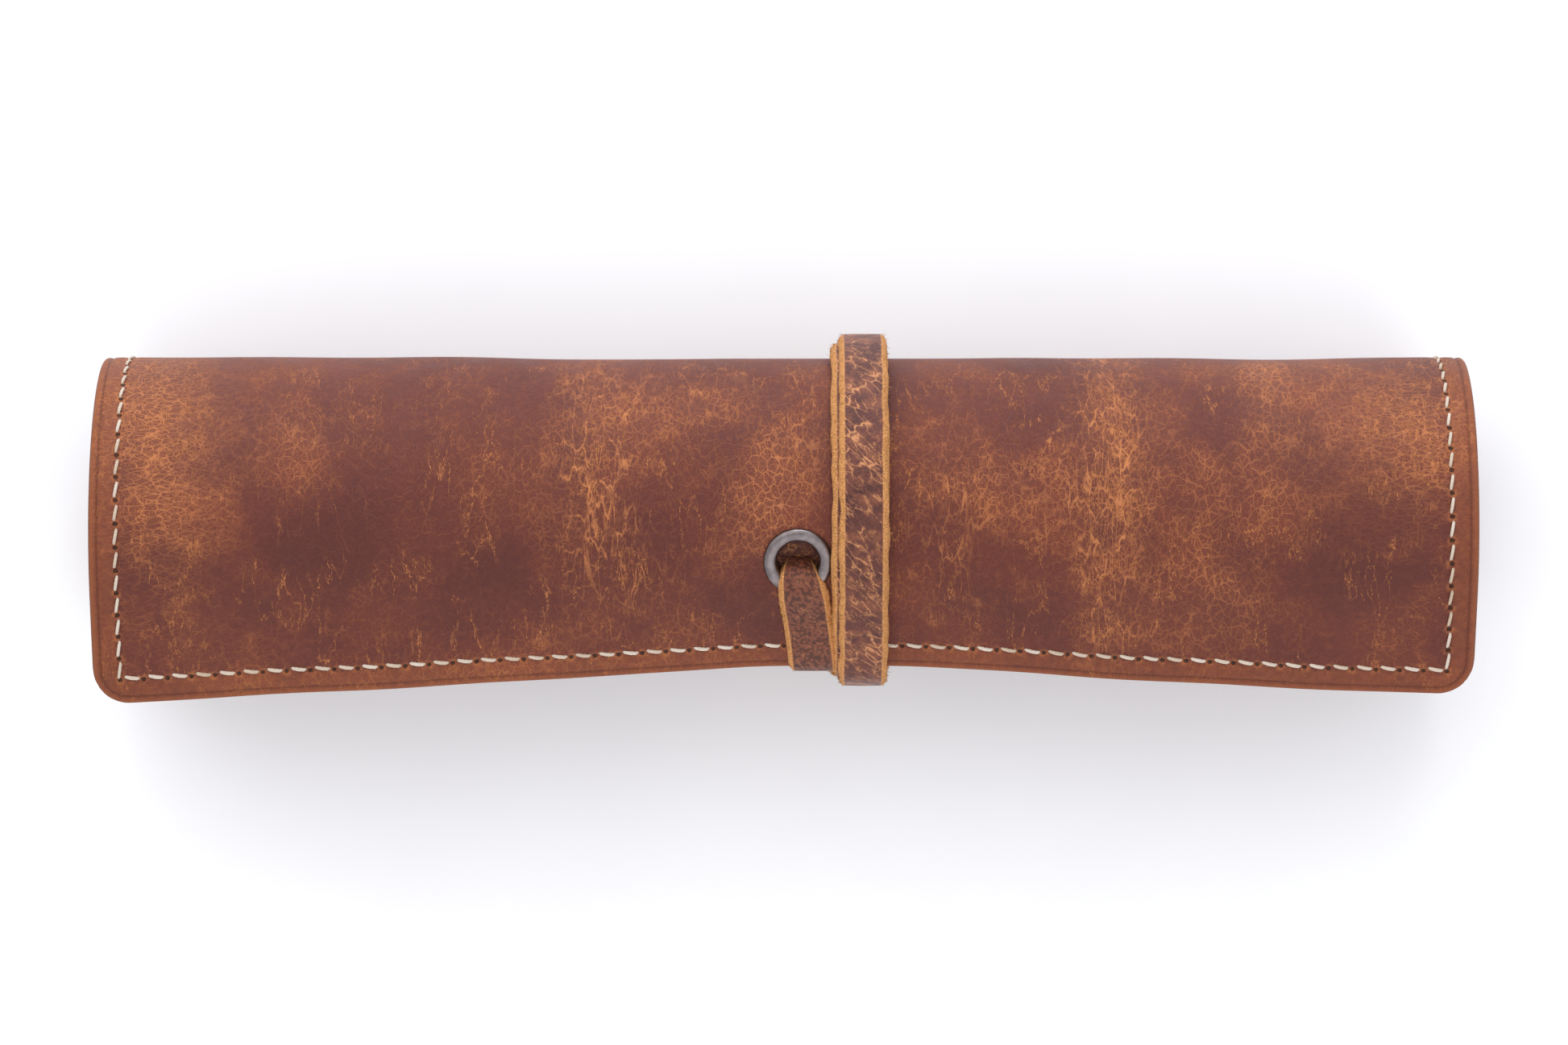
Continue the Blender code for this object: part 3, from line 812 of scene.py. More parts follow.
def eyelet_metal(name):
    """Gunmetal plating, brushed round by wear, with fine scratches."""
    graph = Graph(name)
    place = graph.flat()
    smear = graph.noise(place, 0.5, 4.0, 0.6)
    scratch = graph.noise(graph.scaled(graph.warped(place, 0.7, 0.8), 9.0, 0.5), 1.0, 3.0, 0.6)
    colour = graph.mix(graph.fade(smear, 0.35, 0.7), srgb(112, 103, 103), srgb(138, 128, 127))
    colour = graph.mix(graph.fade(scratch, 0.58, 0.75, 0.0, 0.25), colour, srgb(172, 164, 162))
    normal = graph.bump(graph.plus(smear, graph.times(scratch, 0.5)), 0.00002)
    roughness = graph.fade(smear, 0.3, 0.7, 0.30, 0.38)
    return graph.finish(colour, roughness, normal, Metallic=1.0)


def fibre_material(name):
    """The loose fibres on the strap's cut edges."""
    graph = Graph(name)
    spots = graph.noise(graph.flat("place"), 1.5, 2.0)
    colour = graph.mix(graph.fade(spots, 0.35, 0.65), srgb(150, 92, 46), srgb(214, 156, 92))
    return graph.finish(colour, 0.85, graph.bump(spots, 0.00002), Specular_IOR_Level=0.2)


def plain_floor(name):
    graph = Graph(name)
    spots = graph.noise(graph.add("TexCoord", {}).outputs["Object"], 40.0, 3.0)
    colour = graph.mix(spots, srgb(250, 250, 250), srgb(246, 246, 247))
    return graph.finish(colour, 0.9, graph.bump(spots, 0.00001), Specular_IOR_Level=0.1)


# ---------------------------------------------------------------- the sheet

# Where the leather is pulled pale, veined or darkened, the darkening being partly smudges and partly
# painted shade near the waist:
# (x, distance from the flap's edge, half-width, half-length, amount)
PULLED = (
    (-112.0, 62.0, 13.0, 22.0, 0.6),
    (-106.0, 36.0, 10.0, 20.0, 0.35),
    (-84.0, 48.0, 12.0, 9.0, 0.22),
    (-34.0, 44.0, 9.0, 20.0, 0.28),
    (-14.0, 52.0, 14.0, 8.0, 0.25),
    (-4.5, 31.0, 7.0, 9.0, 0.5),
    (2.0, 42.0, 9.0, 6.0, 0.35),
    (32.0, 36.0, 18.0, 7.0, 0.28),
    (57.0, 42.0, 8.0, 40.0, 0.3),
    (84.0, 38.0, 20.0, 12.0, 0.24),
    (84.0, 62.0, 5.0, 14.0, 0.5),
    (76.0, 18.0, 6.0, 12.0, 0.3),
    (108.0, 52.0, 14.0, 13.0, 0.5),
    (96.0, 70.0, 16.0, 9.0, 0.25),
    (-60.0, 2.0, 50.0, 4.0, 0.25),
)
VEINED = (
    (-33.0, 42.0, 6.5, 30.0, 0.75),
    (-22.0, 20.0, 10.0, 16.0, 0.35),
    (-16.0, 58.0, 12.0, 12.0, 0.5),
    (4.0, 52.0, 5.0, 22.0, 0.5),
    (29.0, 28.0, 6.0, 26.0, 0.5),
    (57.0, 42.0, 6.0, 44.0, 0.95),
    (45.0, 34.0, 9.0, 10.0, 0.45),
    (84.0, 60.0, 14.0, 16.0, 0.35),
    (-112.0, 55.0, 14.0, 26.0, 0.5),
    (112.0, 55.0, 14.0, 22.0, 0.55),
    (-60.0, 62.0, 9.0, 12.0, 0.3),
)
# Darker patches: partly smudges, partly painted shade near the waist.
SMUDGES_AND_SHADE = (
    (-62.0, 28.0, 42.0, 16.0, 0.8),
    (-20.0, 16.0, 12.0, 8.0, 0.4),
    (22.0, 60.0, 8.0, 20.0, 0.6),
    (40.0, 60.0, 8.0, 12.0, 0.35),
    (40.0, 12.0, 10.0, 12.0, 0.4),
    (2.0, 12.0, 20.0, 9.0, 0.6),
    (82.0, 14.0, 16.0, 8.0, 0.3),
    (104.0, 26.0, 15.0, 18.0, 0.85),
    (-92.0, 16.0, 16.0, 10.0, 0.4),
)


def patches(spots, x, along):
    """The strength of soft-edged patches of leather."""
    total = np.zeros_like(x)
    for middle, distance, half_width, half_length, amount in spots:
        off = ((x - middle) / half_width) ** 2 + ((along - distance) / half_length) ** 2
        total += amount * np.exp(-off)
    return total


# How far in from its edges a skin's points lie, and its spacing elsewhere (millimetres, degrees)
FINE_EDGE = (0.0, 0.08, 0.28, 0.55, 0.85, 1.15, 1.45, 1.75, 2.1, 3.0, 4.1, 4.45, 4.7, 4.95, 5.3, 6.1, 7.5)
FINE_SPACING = (1.6, 3.0)
PLAIN_EDGE = (0.0, 0.08, 0.3, 0.55, 1.6, 4.0, 6.6)
PLAIN_SPACING = (3.2, 4.0)


def build_sheet(materials):
    """The outer panel, lining and pocket strip, each cut into pieces, one for each hinge."""
    left = -ROLL_LENGTH / 2.0
    right = ROLL_LENGTH / 2.0
    fine = sheet_grid(
        edge_angle, INNER_END, left, right, SHEET_CUTS, FINE_EDGE, *FINE_SPACING, CORNER_RADIUS
    )
    plain = sheet_grid(
        edge_angle, INNER_END, left, right, SHEET_CUTS, PLAIN_EDGE, *PLAIN_SPACING, CORNER_RADIUS
    )
    panel = Layer(fine, left, right, PANEL_DEPTH, CORNER_RADIUS, True, True)
    lining = Layer(plain, left, right, LINING_DEPTH, CORNER_RADIUS, False, True)
    for label, spots in (("pulled", PULLED), ("veined", VEINED), ("smudges_and_shade", SMUDGES_AND_SHADE)):
        strength = patches(spots, panel.x, panel.along).ravel()
        panel.values[label] = np.concatenate((strength, strength))
    pocket_cuts = SHEET_CUTS[POCKET_FIRST_BEND:]
    strip = sheet_grid(
        *POCKET_SPAN, *POCKET_REACH, pocket_cuts, PLAIN_EDGE[:-1], *PLAIN_SPACING, POCKET_CORNER
    )
    pocket = Layer(strip, *POCKET_REACH, POCKET_DEPTH, POCKET_CORNER, False, False)
    skins = (
        ("outer_panel", panel, 0, "outer_leather"),
        ("lining", lining, 0, "lining_leather"),
        ("pocket", pocket, POCKET_FIRST_BEND, "pocket_leather"),
    )
    for label, layer, first_bend, slot in skins:
        rows = [0] + layer.cut_rows + [len(layer.outer) - 1]
        for index in range(len(rows) - 1):
            bend = first_bend + index
            name = "%s_piece_%02d" % (label, bend + 1)
            obj = layer.piece(name, rows[index], rows[index + 1], materials[slot])
            sheet_blend(obj)
            first = bend + 1 if bend == first_bend and label != "pocket" else bend + 2
            nodes = ["%s_%02d" % (label, number) for number in range(first, bend + 3)]
            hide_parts(*nodes)


def angles_at(x, distances):
    """The angles that lie these distances along the sheet from the flap's edge."""
    table = np.arange(float(edge_angle(np.float64(x))), INNER_END, -0.25)
    points = sheet_points(table, x, 0.0)
    along = np.concatenate(([0.0], np.cumsum(np.linalg.norm(np.diff(points, axis=0), axis=1))))
    return np.interp(distances, along, table), along[-1]


def border_stitches():
    """The middle of every stitch of the border seam and the way it runs: (x, angle, sideways, along)."""
    stitches = []
    half = ROLL_LENGTH / 2.0 - SEAM_INSET
    for x in (-half, half):
        length = angles_at(x, [0.0])[1]
        count = int((length - 2.0 * SEAM_INSET) / STITCH_PITCH)
        distances = SEAM_INSET + STITCH_PITCH * (np.arange(count) + 0.5)
        for angle in angles_at(x, distances)[0]:
            stitches.append((x, angle, 0.0, 1.0))
    for index in range(SEAM_STITCHES):
        x = -half + STITCH_PITCH * (index + 0.5)
        edge = float(edge_angle(np.float64(x)))
        stitches.append((x, edge - SEAM_INSET / float(arc_rate(edge, x)), 1.0, 0.0))
        stitches.append((x, INNER_END + SEAM_INSET / float(arc_rate(INNER_END, x)), 1.0, 0.0))
    return stitches


def pocket_stitches():
    """The pocket strip's seams: its two ends, one between each two pockets, and its closed side."""
    stitches = []
    high, low = POCKET_SPAN
    inset = POCKET_SEAM_INSET
    seam_x = POCKET_REACH[0] + inset
    rate = float(arc_rate(-300.0, 0.0)) - math.radians(POCKET_DEPTH[1])
    first = high - inset / rate
    last = low + inset / rate
    count = int((POCKET_REACH[1] - seam_x - inset / 2.0) / STITCH_PITCH)
    for seam in range(POCKET_COUNT + 1):
        angle = first + (last - first) * seam / POCKET_COUNT
        for index in range(count):
            stitches.append((seam_x + STITCH_PITCH * (index + 0.5), angle, 1.0, 0.0))
    along_count = int((first - last) * rate / STITCH_PITCH)
    for index in range(along_count):
        angle = first + (last - first) * (index + 0.5) / along_count
        stitches.append((seam_x, angle, 0.0, 1.0))
    return stitches


# A stitch's rings: (share of its half-length, share of its radius, height)
STITCH_RINGS = (
    (-1.0, 0.35, -0.42),
    (-0.9, 0.75, -0.12),
    (-0.62, 0.95, 0.12),
    (0.0, 1.0, 0.2),
    (0.62, 0.95, 0.12),
    (0.9, 0.75, -0.12),
    (1.0, 0.35, -0.42),
)
STITCH_SIDES = 7
THREAD_RADIUS = 0.3
THREAD_FLATTENED = 0.8
THREAD_SUNK = 0.16


def stitch_mesh(stitches, depth, outward):
    """Points, faces and coordinates of many stitches lying on one face of the sheet."""
    points = []
    faces = []
    twists = []
    places = []
    for x, angle, sideways, along in stitches:
        start = len(points)
        rate = float(arc_rate(angle, x)) - math.radians(depth)
        for share, size, height in STITCH_RINGS:
            for side in range(STITCH_SIDES):
                turn = 2.0 * math.pi * side / STITCH_SIDES
                run = share * STITCH_LENGTH / 2.0
                off = THREAD_RADIUS * size * math.cos(turn)
                lean_run = run * math.cos(STITCH_SLANT) - off * math.sin(STITCH_SLANT)
                lean_off = run * math.sin(STITCH_SLANT) + off * math.cos(STITCH_SLANT)
                rise = height + THREAD_RADIUS * size * THREAD_FLATTENED * math.sin(turn)
                here_x = x + sideways * lean_run + along * lean_off
                here_angle = angle - (along * lean_run - sideways * lean_off) / rate
                points.append((here_angle, here_x, depth - outward * rise))
                twists.append((run, turn))
                places.append((x, math.radians(angle) * WAIST_RADIUS))
        rings = len(STITCH_RINGS)
        for ring in range(rings - 1):
            for side in range(STITCH_SIDES):
                here = start + ring * STITCH_SIDES
                following = (side + 1) % STITCH_SIDES
                quad = [here + side, here + following]
                quad += [here + STITCH_SIDES + following, here + STITCH_SIDES + side]
                faces.append(quad)
        last = start + (rings - 1) * STITCH_SIDES
        faces.append([start + side for side in reversed(range(STITCH_SIDES))])
        faces.append([last + side for side in range(STITCH_SIDES)])
    table = np.array(points)
    placed = sheet_points(table[:, 0], table[:, 1], table[:, 2])
    return placed, faces, {"flat": np.array(twists), "place": np.array(places)}


def turn_out(obj):
    """Makes every closed body's faces look outward."""
    shape = bmesh.new()
    shape.from_mesh(obj.data)
    bmesh.ops.recalc_face_normals(shape, faces=shape.faces)
    shape.to_mesh(obj.data)
    shape.free()


def bend_of(angle):
    """Which piece of the sheet holds this angle."""
    for index, cut in enumerate(SHEET_CUTS):
        if angle >= cut:
            return index
    return len(SHEET_CUTS)


def build_stitching(material):
    """The thread, in one piece for each piece of the sheet."""
    seams = (
        ("border_stitches", border_stitches(), PANEL_DEPTH[0] + THREAD_SUNK, 1.0, "outer_leather"),
        ("lining_stitches", border_stitches(), LINING_DEPTH[1], -1.0, "lining_leather"),
        ("pocket_stitches", pocket_stitches(), POCKET_DEPTH[1], -1.0, "pocket_leather"),
    )
    for label, stitches, depth, outward, slot in seams:
        for bend in range(len(SHEET_BENDS)):
            chosen = [stitch for stitch in stitches if bend_of(stitch[1]) == bend]
            if not chosen:
                continue
            points, faces, uvs = stitch_mesh(chosen, depth, outward)
            obj = make_piece("%s_%02d" % (label, bend + 1), points, faces, material, uvs)
            turn_out(obj)
            sheet_blend(obj)


# ---------------------------------------------------------------- the strap


def strap_x(angle):
    """The strap slants off the eyelet, then steps sideways on the underside, out of sight."""
    first = float(ease((angle - STRAP_SHIFT_FROM) / STRAP_SHIFT_OVER))
    second = float(ease((angle - STRAP_SHIFT_FROM - 360.0) / STRAP_SHIFT_OVER))
    through_end, _, sideways = STRAP_THROUGH[-1][:3]
    left = min(max((EDGE_ANGLE - angle) / (EDGE_ANGLE - through_end), 0.0), 1.0)
    slant = (STRAP_TAIL_X - EYELET_X - sideways) * left
    x = STRAP_TAIL_X - slant + (STRAP_INNER_X - STRAP_TAIL_X) * first
    return x + (STRAP_OUTER_X - STRAP_INNER_X) * second


def strap_width(angle):
    """The first turn is a little wider than the one over it, so that its edges show on both sides."""
    widened = float(ease((angle - STRAP_WOUND_FROM) / STRAP_WIDENS_OVER))
    narrowed = float(ease((angle - STRAP_NARROWS_FROM) / STRAP_NARROWS_OVER))
    width = STRAP_TAIL_WIDTH + (STRAP_UNDER_WIDTH - STRAP_TAIL_WIDTH) * widened
    return width + (STRAP_WIDTH - STRAP_UNDER_WIDTH) * narrowed


def pushed_out(angle):
    """How far the flap's edge pushes the strap out, falling away straight on both sides of it."""
    near = max(FLAP_PUSHES_OUT - abs(angle % 360.0 - EDGE_ANGLE), 0.0)
    return WAIST_RADIUS * (1.0 / math.cos(math.radians(near)) - 1.0)


def strap_radius(angle):
    """The strap's underside: along the flap, off its edge, down to the roll, and wound over itself."""
    edge = WAIST_RADIUS + pushed_out(EDGE_ANGLE) + STRAP_REST
    landing = float(waist_radius(STRAP_BRIDGE_ANGLE - 360.0)) + STRAP_REST
    if angle <= EDGE_ANGLE:
        return WAIST_RADIUS + pushed_out(angle) + STRAP_REST
    if angle <= STRAP_BRIDGE_ANGLE:
        down = math.radians(angle - EDGE_ANGLE)
        left = math.radians(STRAP_BRIDGE_ANGLE - angle)
        return edge * landing * math.sin(down + left) / (edge * math.sin(down) + landing * math.sin(left))
    wound = float(waist_radius(min(angle, STRAP_SPIRAL_FROM) - 360.0)) + STRAP_REST
    slack = STRAP_SLACK + STRAP_SLACK_BEHIND * math.cos(math.radians(angle))
    slack *= float(ease((angle - STRAP_SPIRAL_FROM) / STRAP_SLACK_OVER + 1.0))
    spiral = STRAP_PITCH * max(angle - STRAP_SPIRAL_FROM, 0.0) / 360.0
    pushed = FLAP_PUSH_SHARE * pushed_out(angle) * (angle > STRAP_SPIRAL_FROM)
    return wound + slack + spiral + pushed


def strap_line():
    """Stations along the strap: angle, middle in the YZ plane, x, width and crown."""
    angles = []
    places = []
    for angle, height, sideways, width, crown in STRAP_THROUGH:
        angles.append(angle)
        places.append((*polar_yz(WAIST_RADIUS + height, angle), EYELET_X + sideways, width, crown))
    for angle in np.arange(FLAP_HINGE, STRAP_END + 0.1, STRAP_STEP):
        radius = strap_radius(angle) + STRAP_THICK / 2.0
        angles.append(angle)
        places.append((*polar_yz(radius, angle), strap_x(angle), strap_width(angle), STRAP_CROWN))
    places = np.array(places)
    for _ in range(STRAP_SMOOTHINGS):
        places[1:-1] = (places[:-2] + 2.0 * places[1:-1] + places[2:]) / 4.0
    return refine(np.array(angles), places, len(STRAP_THROUGH) + 1)


def polar_yz(radius, angle):
    """The y and z of this radius and angle, in millimetres."""
    turn = math.radians(angle)
    return AXIS_Y + radius * math.cos(turn), AXIS_Z + radius * math.sin(turn)


def refine(angles, places, count):
    """Adds stations between the first few by a smooth curve through them."""
    parts = 4
    values = np.column_stack((angles, places))
    padded = np.vstack((2.0 * values[0] - values[1], values))
    rows = []
    for index in range(1, count + 1):
        before, here, there, after = padded[index - 1:index + 3]
        for part in range(parts):
            share = part / parts
            rows.append(0.5 * (
                2.0 * here
                + (there - before) * share
                + (2.0 * before - 5.0 * here + 4.0 * there - after) * share**2
                + (3.0 * here - before - 3.0 * there + after) * share**3
            ))
    values = np.vstack((np.array(rows), values[count:]))
    return values[:, 0], values[:, 1:]


def strap_section(width, crown):
    """The strap across: (sideways, height, how raw). Its cut sides slope, so they show from above."""
    tall = STRAP_THICK / 2.0
    low = width / 2.0
    high = low - STRAP_BEVEL
    side = (
        (low - 0.2, -tall, 0.6),
        (low, -tall + 0.2, 1.0),
        (low - 0.22, 0.1, 1.0),
        (high + 0.1, tall - 0.15, 1.0),
        (high - 0.12, tall, 0.35),
    )
    face = [(share * high, tall, 0.0) for share in (0.85, 0.6, 0.2, -0.2, -0.6, -0.85)]
    back = [(share * low, -tall, 0.0) for share in (-0.6, -0.2, 0.2, 0.6)]
    outline = list(side) + face + [(-x, height, raw) for x, height, raw in reversed(side)] + back
    return [(x, height - crown * (x / low) ** 2, raw) for x, height, raw in outline]


def build_strap(material, fuzz_material):
    """The strap in pieces, one for each hinge, and the fibres on its raw edges."""
    angles, places = strap_line()
    count = len(angles)
    line = places[:, :2]
    tangent = np.gradient(line, axis=0)
    tangent /= np.linalg.norm(tangent, axis=1, keepdims=True)
    outward = np.column_stack((tangent[:, 1], -tangent[:, 0]))
    run = np.concatenate(([0.0], np.cumsum(np.linalg.norm(np.diff(line, axis=0), axis=1))))
    rng = np.random.default_rng(STRAP_SEED)
    edge_left = soften(rng.normal(0.0, STRAP_EDGE_WOBBLE, count))
    edge_right = soften(rng.normal(0.0, STRAP_EDGE_WOBBLE, count))
    points = []
    flat = []
    raws = []
    for index in range(count):
        x, width, crown = places[index, 2:]
        for sideways, height, raw in strap_section(width, crown):
            wobble = edge_right[index] if sideways > 0.0 else edge_left[index]
            sideways += wobble * (abs(sideways) / (width / 2.0)) ** 4
            yz = line[index] + outward[index] * height
            points.append((x + sideways, yz[0], yz[1]))
            flat.append((sideways, run[index]))
            raws.append(raw)
    points = np.array(points)
    ring = len(strap_section(STRAP_WIDTH, 0.0))
    tail = 1.0 - ease((np.repeat(angles, ring) - STRAP_WOUND_FROM) / TAIL_FADES_OVER)
    values = {"raw": np.array(raws), "tail": tail}
    uvs = {"flat": np.array(flat)}
    quads = []
    for index in range(count - 1):
        for step in range(ring):
            following = (step + 1) % ring
            here = index * ring
            quads.append([here + step, here + following, here + ring + following, here + ring + step])
    normals = vertex_normals(points, np.array(quads))
    inside = np.sum((points - np.repeat(np.column_stack((places[:, 2], line)), ring, axis=0)) * normals)
    if inside < 0.0:
        quads = [quad[::-1] for quad in quads]
        normals = -normals
    fuzz = strap_fuzz(angles, places, line, outward, edge_left, edge_right, rng)
    bodies = ["section_02", "section_01"] + ["strap_length_%02d" % number for number in range(3, 13)]
    for bend in range(len(bodies) - 1):
        first, last = (int(np.argmin(np.abs(angles - strap_cut(cut)))) for cut in (bend, bend + 1))
        faces = quads[first * ring:last * ring]
        caps = [[row * ring + step for step in range(ring)] for row in (first, last)]
        caps[0 if inside > 0.0 else 1].reverse()
        name = "strap_piece_%02d" % (bend + 1)
        obj = make_piece(name, points, faces + caps, material, uvs, values, normals, len(faces))
        chosen = (fuzz["angle"] >= angles[first]) & (fuzz["angle"] < angles[last])
        tufts = fuzz["points"][chosen].reshape(-1, 3)
        starts = range(0, len(tufts), 4)
        solid = [[start + corner for corner in face] for start in starts for face in TUFT_FACES]
        marks = {"place": fuzz["place"][chosen].reshape(-1, 2)}
        tuft_piece = make_piece("strap_fibres_%02d" % (bend + 1), tufts, solid, fuzz_material, marks)
        turn_out(tuft_piece)
        high, low = strap_bend(bend)
        start = polar(strap_radius(high) - STRAP_REST, high)
        end = polar(strap_radius(low) - STRAP_REST, low)
        for piece in (obj, tuft_piece):
            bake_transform(piece)
        nodes = ["strap_%02d" % (bend + 2)] if bend else ["strap_01", "strap_02"]
        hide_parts(*nodes)


def strap_cut(index):
    """The angle where the strap is cut between one piece and the next."""
    if index == 0:
        return STRAP_THROUGH[0][0]
    if index == 1:
        return FLAP_BLEND[1]
    if index == STRAP_SECTIONS + 1:
        return STRAP_END
    return STRAP_WOUND_FROM + STRAP_SECTION_ANGLE * (index - 1.5)


def strap_bend(index):
    """The angles between which a piece of the strap bends."""
    if index == 0:
        return FLAP_BLEND
    middle = STRAP_WOUND_FROM + STRAP_SECTION_ANGLE * (index - 1)
    low = FLAP_BLEND[1] if index == 1 else middle - STRAP_SECTION_ANGLE / 2.0
    return low, middle + STRAP_SECTION_ANGLE / 2.0


FIBRE_COUNT = 8200
FIBRE_THICK = 0.055
TUFT_FACES = ((0, 1, 2), (0, 1, 3), (1, 2, 3), (2, 0, 3))


def soften(values):
    """Smooths a row of random numbers a little."""
    kernel = np.array((0.25, 0.5, 0.25))
    return np.convolve(values, kernel, mode="same")


def strap_fuzz(angles, places, line, outward, edge_left, edge_right, rng):
    """Fine tapering fibres along both raw edges."""
    count = FIBRE_COUNT
    station = rng.uniform(0.0, len(angles) - 1.001, count)
    index = station.astype(int)
    share = (station - index)[:, None]
    middle = line[index] * (1.0 - share) + line[index + 1] * share
    out = outward[index]
    side = np.where(rng.random(count) < 0.5, -1.0, 1.0)
    x = places[index, 2]
    half = places[index, 3] / 2.0 + np.where(side > 0.0, edge_right[index], -edge_left[index])
    height = rng.uniform(-0.6, 0.7, count)
    slope = 0.5 + height / STRAP_THICK
    root_yz = middle + out * (height - places[index, 4])[:, None]
    root = np.column_stack((x + side * (half - 0.08 - STRAP_BEVEL * slope), root_yz))
    length = rng.uniform(0.2, 0.7, count) + 0.6 * (rng.random(count) > 0.92)
    lean = rng.normal(0.0, 0.55, (count, 3))
    lean[:, 0] = side * rng.uniform(0.5, 1.0, count)
    lean /= np.linalg.norm(lean, axis=1, keepdims=True)
    tip = root + lean * length[:, None]
    forward = np.column_stack((np.zeros(count), -out[:, 1], out[:, 0])) * FIBRE_THICK
    upward = np.column_stack((np.zeros(count), out)) * FIBRE_THICK
    back = root - forward * 0.5
    corners = np.stack((root + forward, back + upward, back - upward, tip), axis=1)
    place = np.repeat(np.column_stack((station * 1.2, height))[:, None, :], 4, axis=1)
    angle = angles[index] * (1.0 - share[:, 0]) + angles[index + 1] * share[:, 0]
    return {"angle": angle, "points": corners, "place": place}


# ---------------------------------------------------------------- the eyelet


def eyelet_profile():
    """The eyelet in section, as (radius, height over the seat): a rolled flange and a barrel."""
    low = EYELET_CLEAR
    outline = [
        (EYELET_HOLE, -EYELET_DEEP),
        (EYELET_BARREL, -EYELET_DEEP),
        (EYELET_BARREL, low - 0.3),
        (EYELET_BARREL + 0.3, low),
    ]
    middle = (EYELET_FLANGE + EYELET_HOLE) / 2.0
    half = (EYELET_FLANGE - EYELET_HOLE) / 2.0
    for step in range(EYELET_ROLL_STEPS + 1):
        turn = math.radians(-12.0 + 192.0 * step / EYELET_ROLL_STEPS)
        level = math.copysign(abs(math.sin(turn)) ** 0.8, math.sin(turn))
        outline.append((middle + half * math.cos(turn), low + 0.2 + (EYELET_THICK - 0.2) * level))
    return outline


def turned_ring(profile, steps, place):
    """A ring turned from a closed profile. place maps (radius, turn, height) to points."""
    points = []
    flat = []
    for step in range(steps):
        turn = 2.0 * math.pi * step / steps
        for radius, height in profile:
            points.append(place(radius, turn, height))
            flat.append((radius * math.cos(turn), radius * math.sin(turn)))
    size = len(profile)
    faces = []
    for step in range(steps):
        here = step * size
        there = (step + 1) % steps * size
        for index in range(size):
            following = (index + 1) % size
            faces.append([here + index, here + following, there + following, there + index])
    return np.array(points), faces, np.array(flat)


def build_eyelet(materials):
    """The eyelet, its washer behind the lining, and the patch that the strap's end is glued to."""
    turn = math.radians(EYELET_ANGLE)
    out = np.array((0.0, math.cos(turn), math.sin(turn)))
    across = np.array((0.0, -math.sin(turn), math.cos(turn)))
    seat = np.array((EYELET_X, *polar_yz(WAIST_RADIUS - EYELET_SUNK, EYELET_ANGLE)))

    def on_flap(radius, round_turn, height):
        sideways = np.array((1.0, 0.0, 0.0)) * math.cos(round_turn) + across * math.sin(round_turn)
        return seat + sideways * radius + out * height

    def behind_lining(radius, round_turn, height):
        angle = EYELET_ANGLE + math.degrees(radius * math.sin(round_turn) / WAIST_RADIUS)
        x = EYELET_X + radius * math.cos(round_turn)
        return sheet_points(angle, x, LINING_DEPTH[1] + 0.05 - height)

    points, faces, flat = turned_ring(eyelet_profile(), EYELET_STEPS, on_flap)
    ring = make_piece("eyelet_ring", points, faces, materials["eyelet_metal"], {"flat": flat})
    turn_out(ring)
    ring.data.set_sharp_from_angle(angle=EYELET_SHARP)
    middle = (WASHER_OUTER + EYELET_BARREL + WASHER_FIT) / 2.0
    half = middle - EYELET_BARREL - WASHER_FIT
    profile = []
    for step in range(WASHER_SIDES):
        around = 2.0 * math.pi * step / WASHER_SIDES
        profile.append((middle + half * math.cos(around), -WASHER_THICK / 2.0 * (1.0 - math.sin(around))))
    points, faces, flat = turned_ring(profile, WASHER_STEPS, behind_lining)
    washer = make_piece("washer_ring", points, faces, materials["eyelet_metal"], {"flat": flat})
    turn_out(washer)
    for obj, node in ((ring, "eyelet"), (washer, "eyelet_washer")):
        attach(obj, "section_02")
        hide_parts(node)
    depth = LINING_DEPTH[1] + WASHER_THICK + WASHER_FIT
    left = EYELET_X - PATCH_HALF_WIDTH
    right = EYELET_X + PATCH_HALF_WIDTH
    high = EYELET_ANGLE + PATCH_HALF_ANGLE
    low = EYELET_ANGLE - PATCH_HALF_ANGLE
    grid = sheet_grid(high, low, left, right, (), PLAIN_EDGE[:-2], 1.2, 2.4, PATCH_CORNER)
    patch = Layer(grid, left, right, (depth, depth + PATCH_THICK), PATCH_CORNER, False, False)
    anchor = patch.piece("anchor_patch", 0, len(patch.outer) - 1, materials["strap_leather"])
    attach(anchor, "section_02")
    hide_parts("strap_anchor")


# ---------------------------------------------------------------- stage, light and camera

FLOOR_SIZE = 6.0
SKY_COLOUR = (0.93, 0.95, 1.0, 1.0)
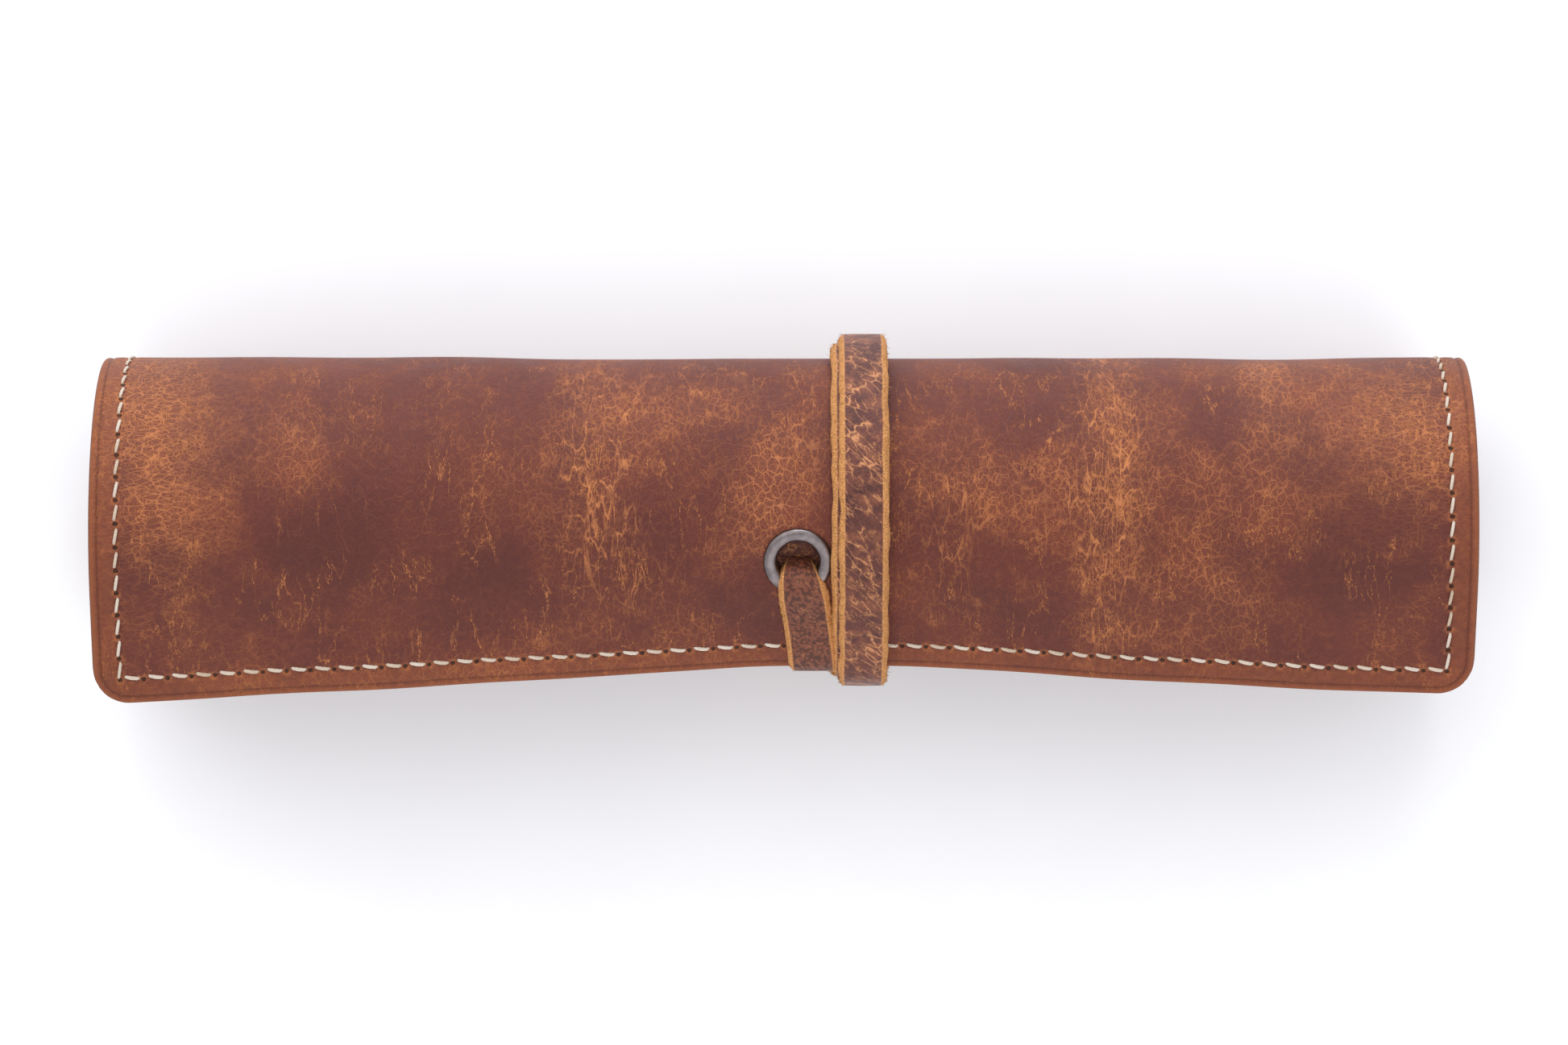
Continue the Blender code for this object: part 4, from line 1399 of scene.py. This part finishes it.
# The lamps: name, place, size, power and colour, all aimed at one point
LAMPS = (
    ("key", (-0.45, 0.85, 1.05), 1.6, 8.0, (1.0, 0.98, 0.96)),
    ("rim", (0.1, 1.1, 0.28), 0.7, 6.0, (0.88, 0.92, 1.0)),
    ("fill", (0.2, -1.0, 0.9), 1.6, 5.0, (1.0, 0.99, 0.98)),
)
LAMPS_AIM = Vector((0.0, 0.0, 0.03))
CAMERA_PLACE = (0.0, -0.0004, 1.142)
CAMERA_LENS = 144.0
SENSOR_WIDTH = 36.0


def build_stage():
    """A plain pale floor, soft light from all round, and the camera straight above the roll."""
    bpy.ops.mesh.primitive_plane_add(size=FLOOR_SIZE)
    floor = bpy.context.object
    floor.name = "floor"
    floor.data.materials.append(plain_floor("floor_paper"))
    world = bpy.data.worlds.new("studio")
    bpy.context.scene.world = world
    world.use_nodes = True
    background = world.node_tree.nodes["Background"]
    background.inputs["Color"].default_value = SKY_COLOUR
    background.inputs["Strength"].default_value = 1.0
    for label, place, size, power, colour in LAMPS:
        light = bpy.data.lights.new(label, "AREA")
        light.shape = "SQUARE"
        light.size = size
        light.energy = power
        light.color = colour
        lamp = bpy.data.objects.new(label, light)
        lamp.location = place
        aim = LAMPS_AIM - lamp.location
        lamp.rotation_euler = aim.to_track_quat("-Z", "Y").to_euler()
        bpy.context.scene.collection.objects.link(lamp)
    camera_data = bpy.data.cameras.new("camera")
    camera_data.sensor_width = SENSOR_WIDTH
    camera_data.lens = CAMERA_LENS
    camera = bpy.data.objects.new("camera", camera_data)
    camera.location = CAMERA_PLACE
    bpy.context.scene.collection.objects.link(camera)
    bpy.context.scene.camera = camera
    bpy.context.scene.view_settings.view_transform = "Standard"


build_stage()
leathers = {
    "outer_leather": outer_leather("outer_leather_look"),
    "lining_leather": inner_leather("lining_leather_look", srgb(140, 88, 52), srgb(176, 118, 74), 0.00008),
    "pocket_leather": inner_leather("pocket_leather_look", srgb(112, 64, 38), srgb(142, 86, 54), 0.00006),
    "strap_leather": strap_leather("strap_leather_look"),
    "eyelet_metal": eyelet_metal("eyelet_metal_look"),
}
build_sheet(leathers)
build_stitching(thread_material("thread_look"))
build_strap(leathers["strap_leather"], fibre_material("fibre_look"))
build_eyelet(leathers)
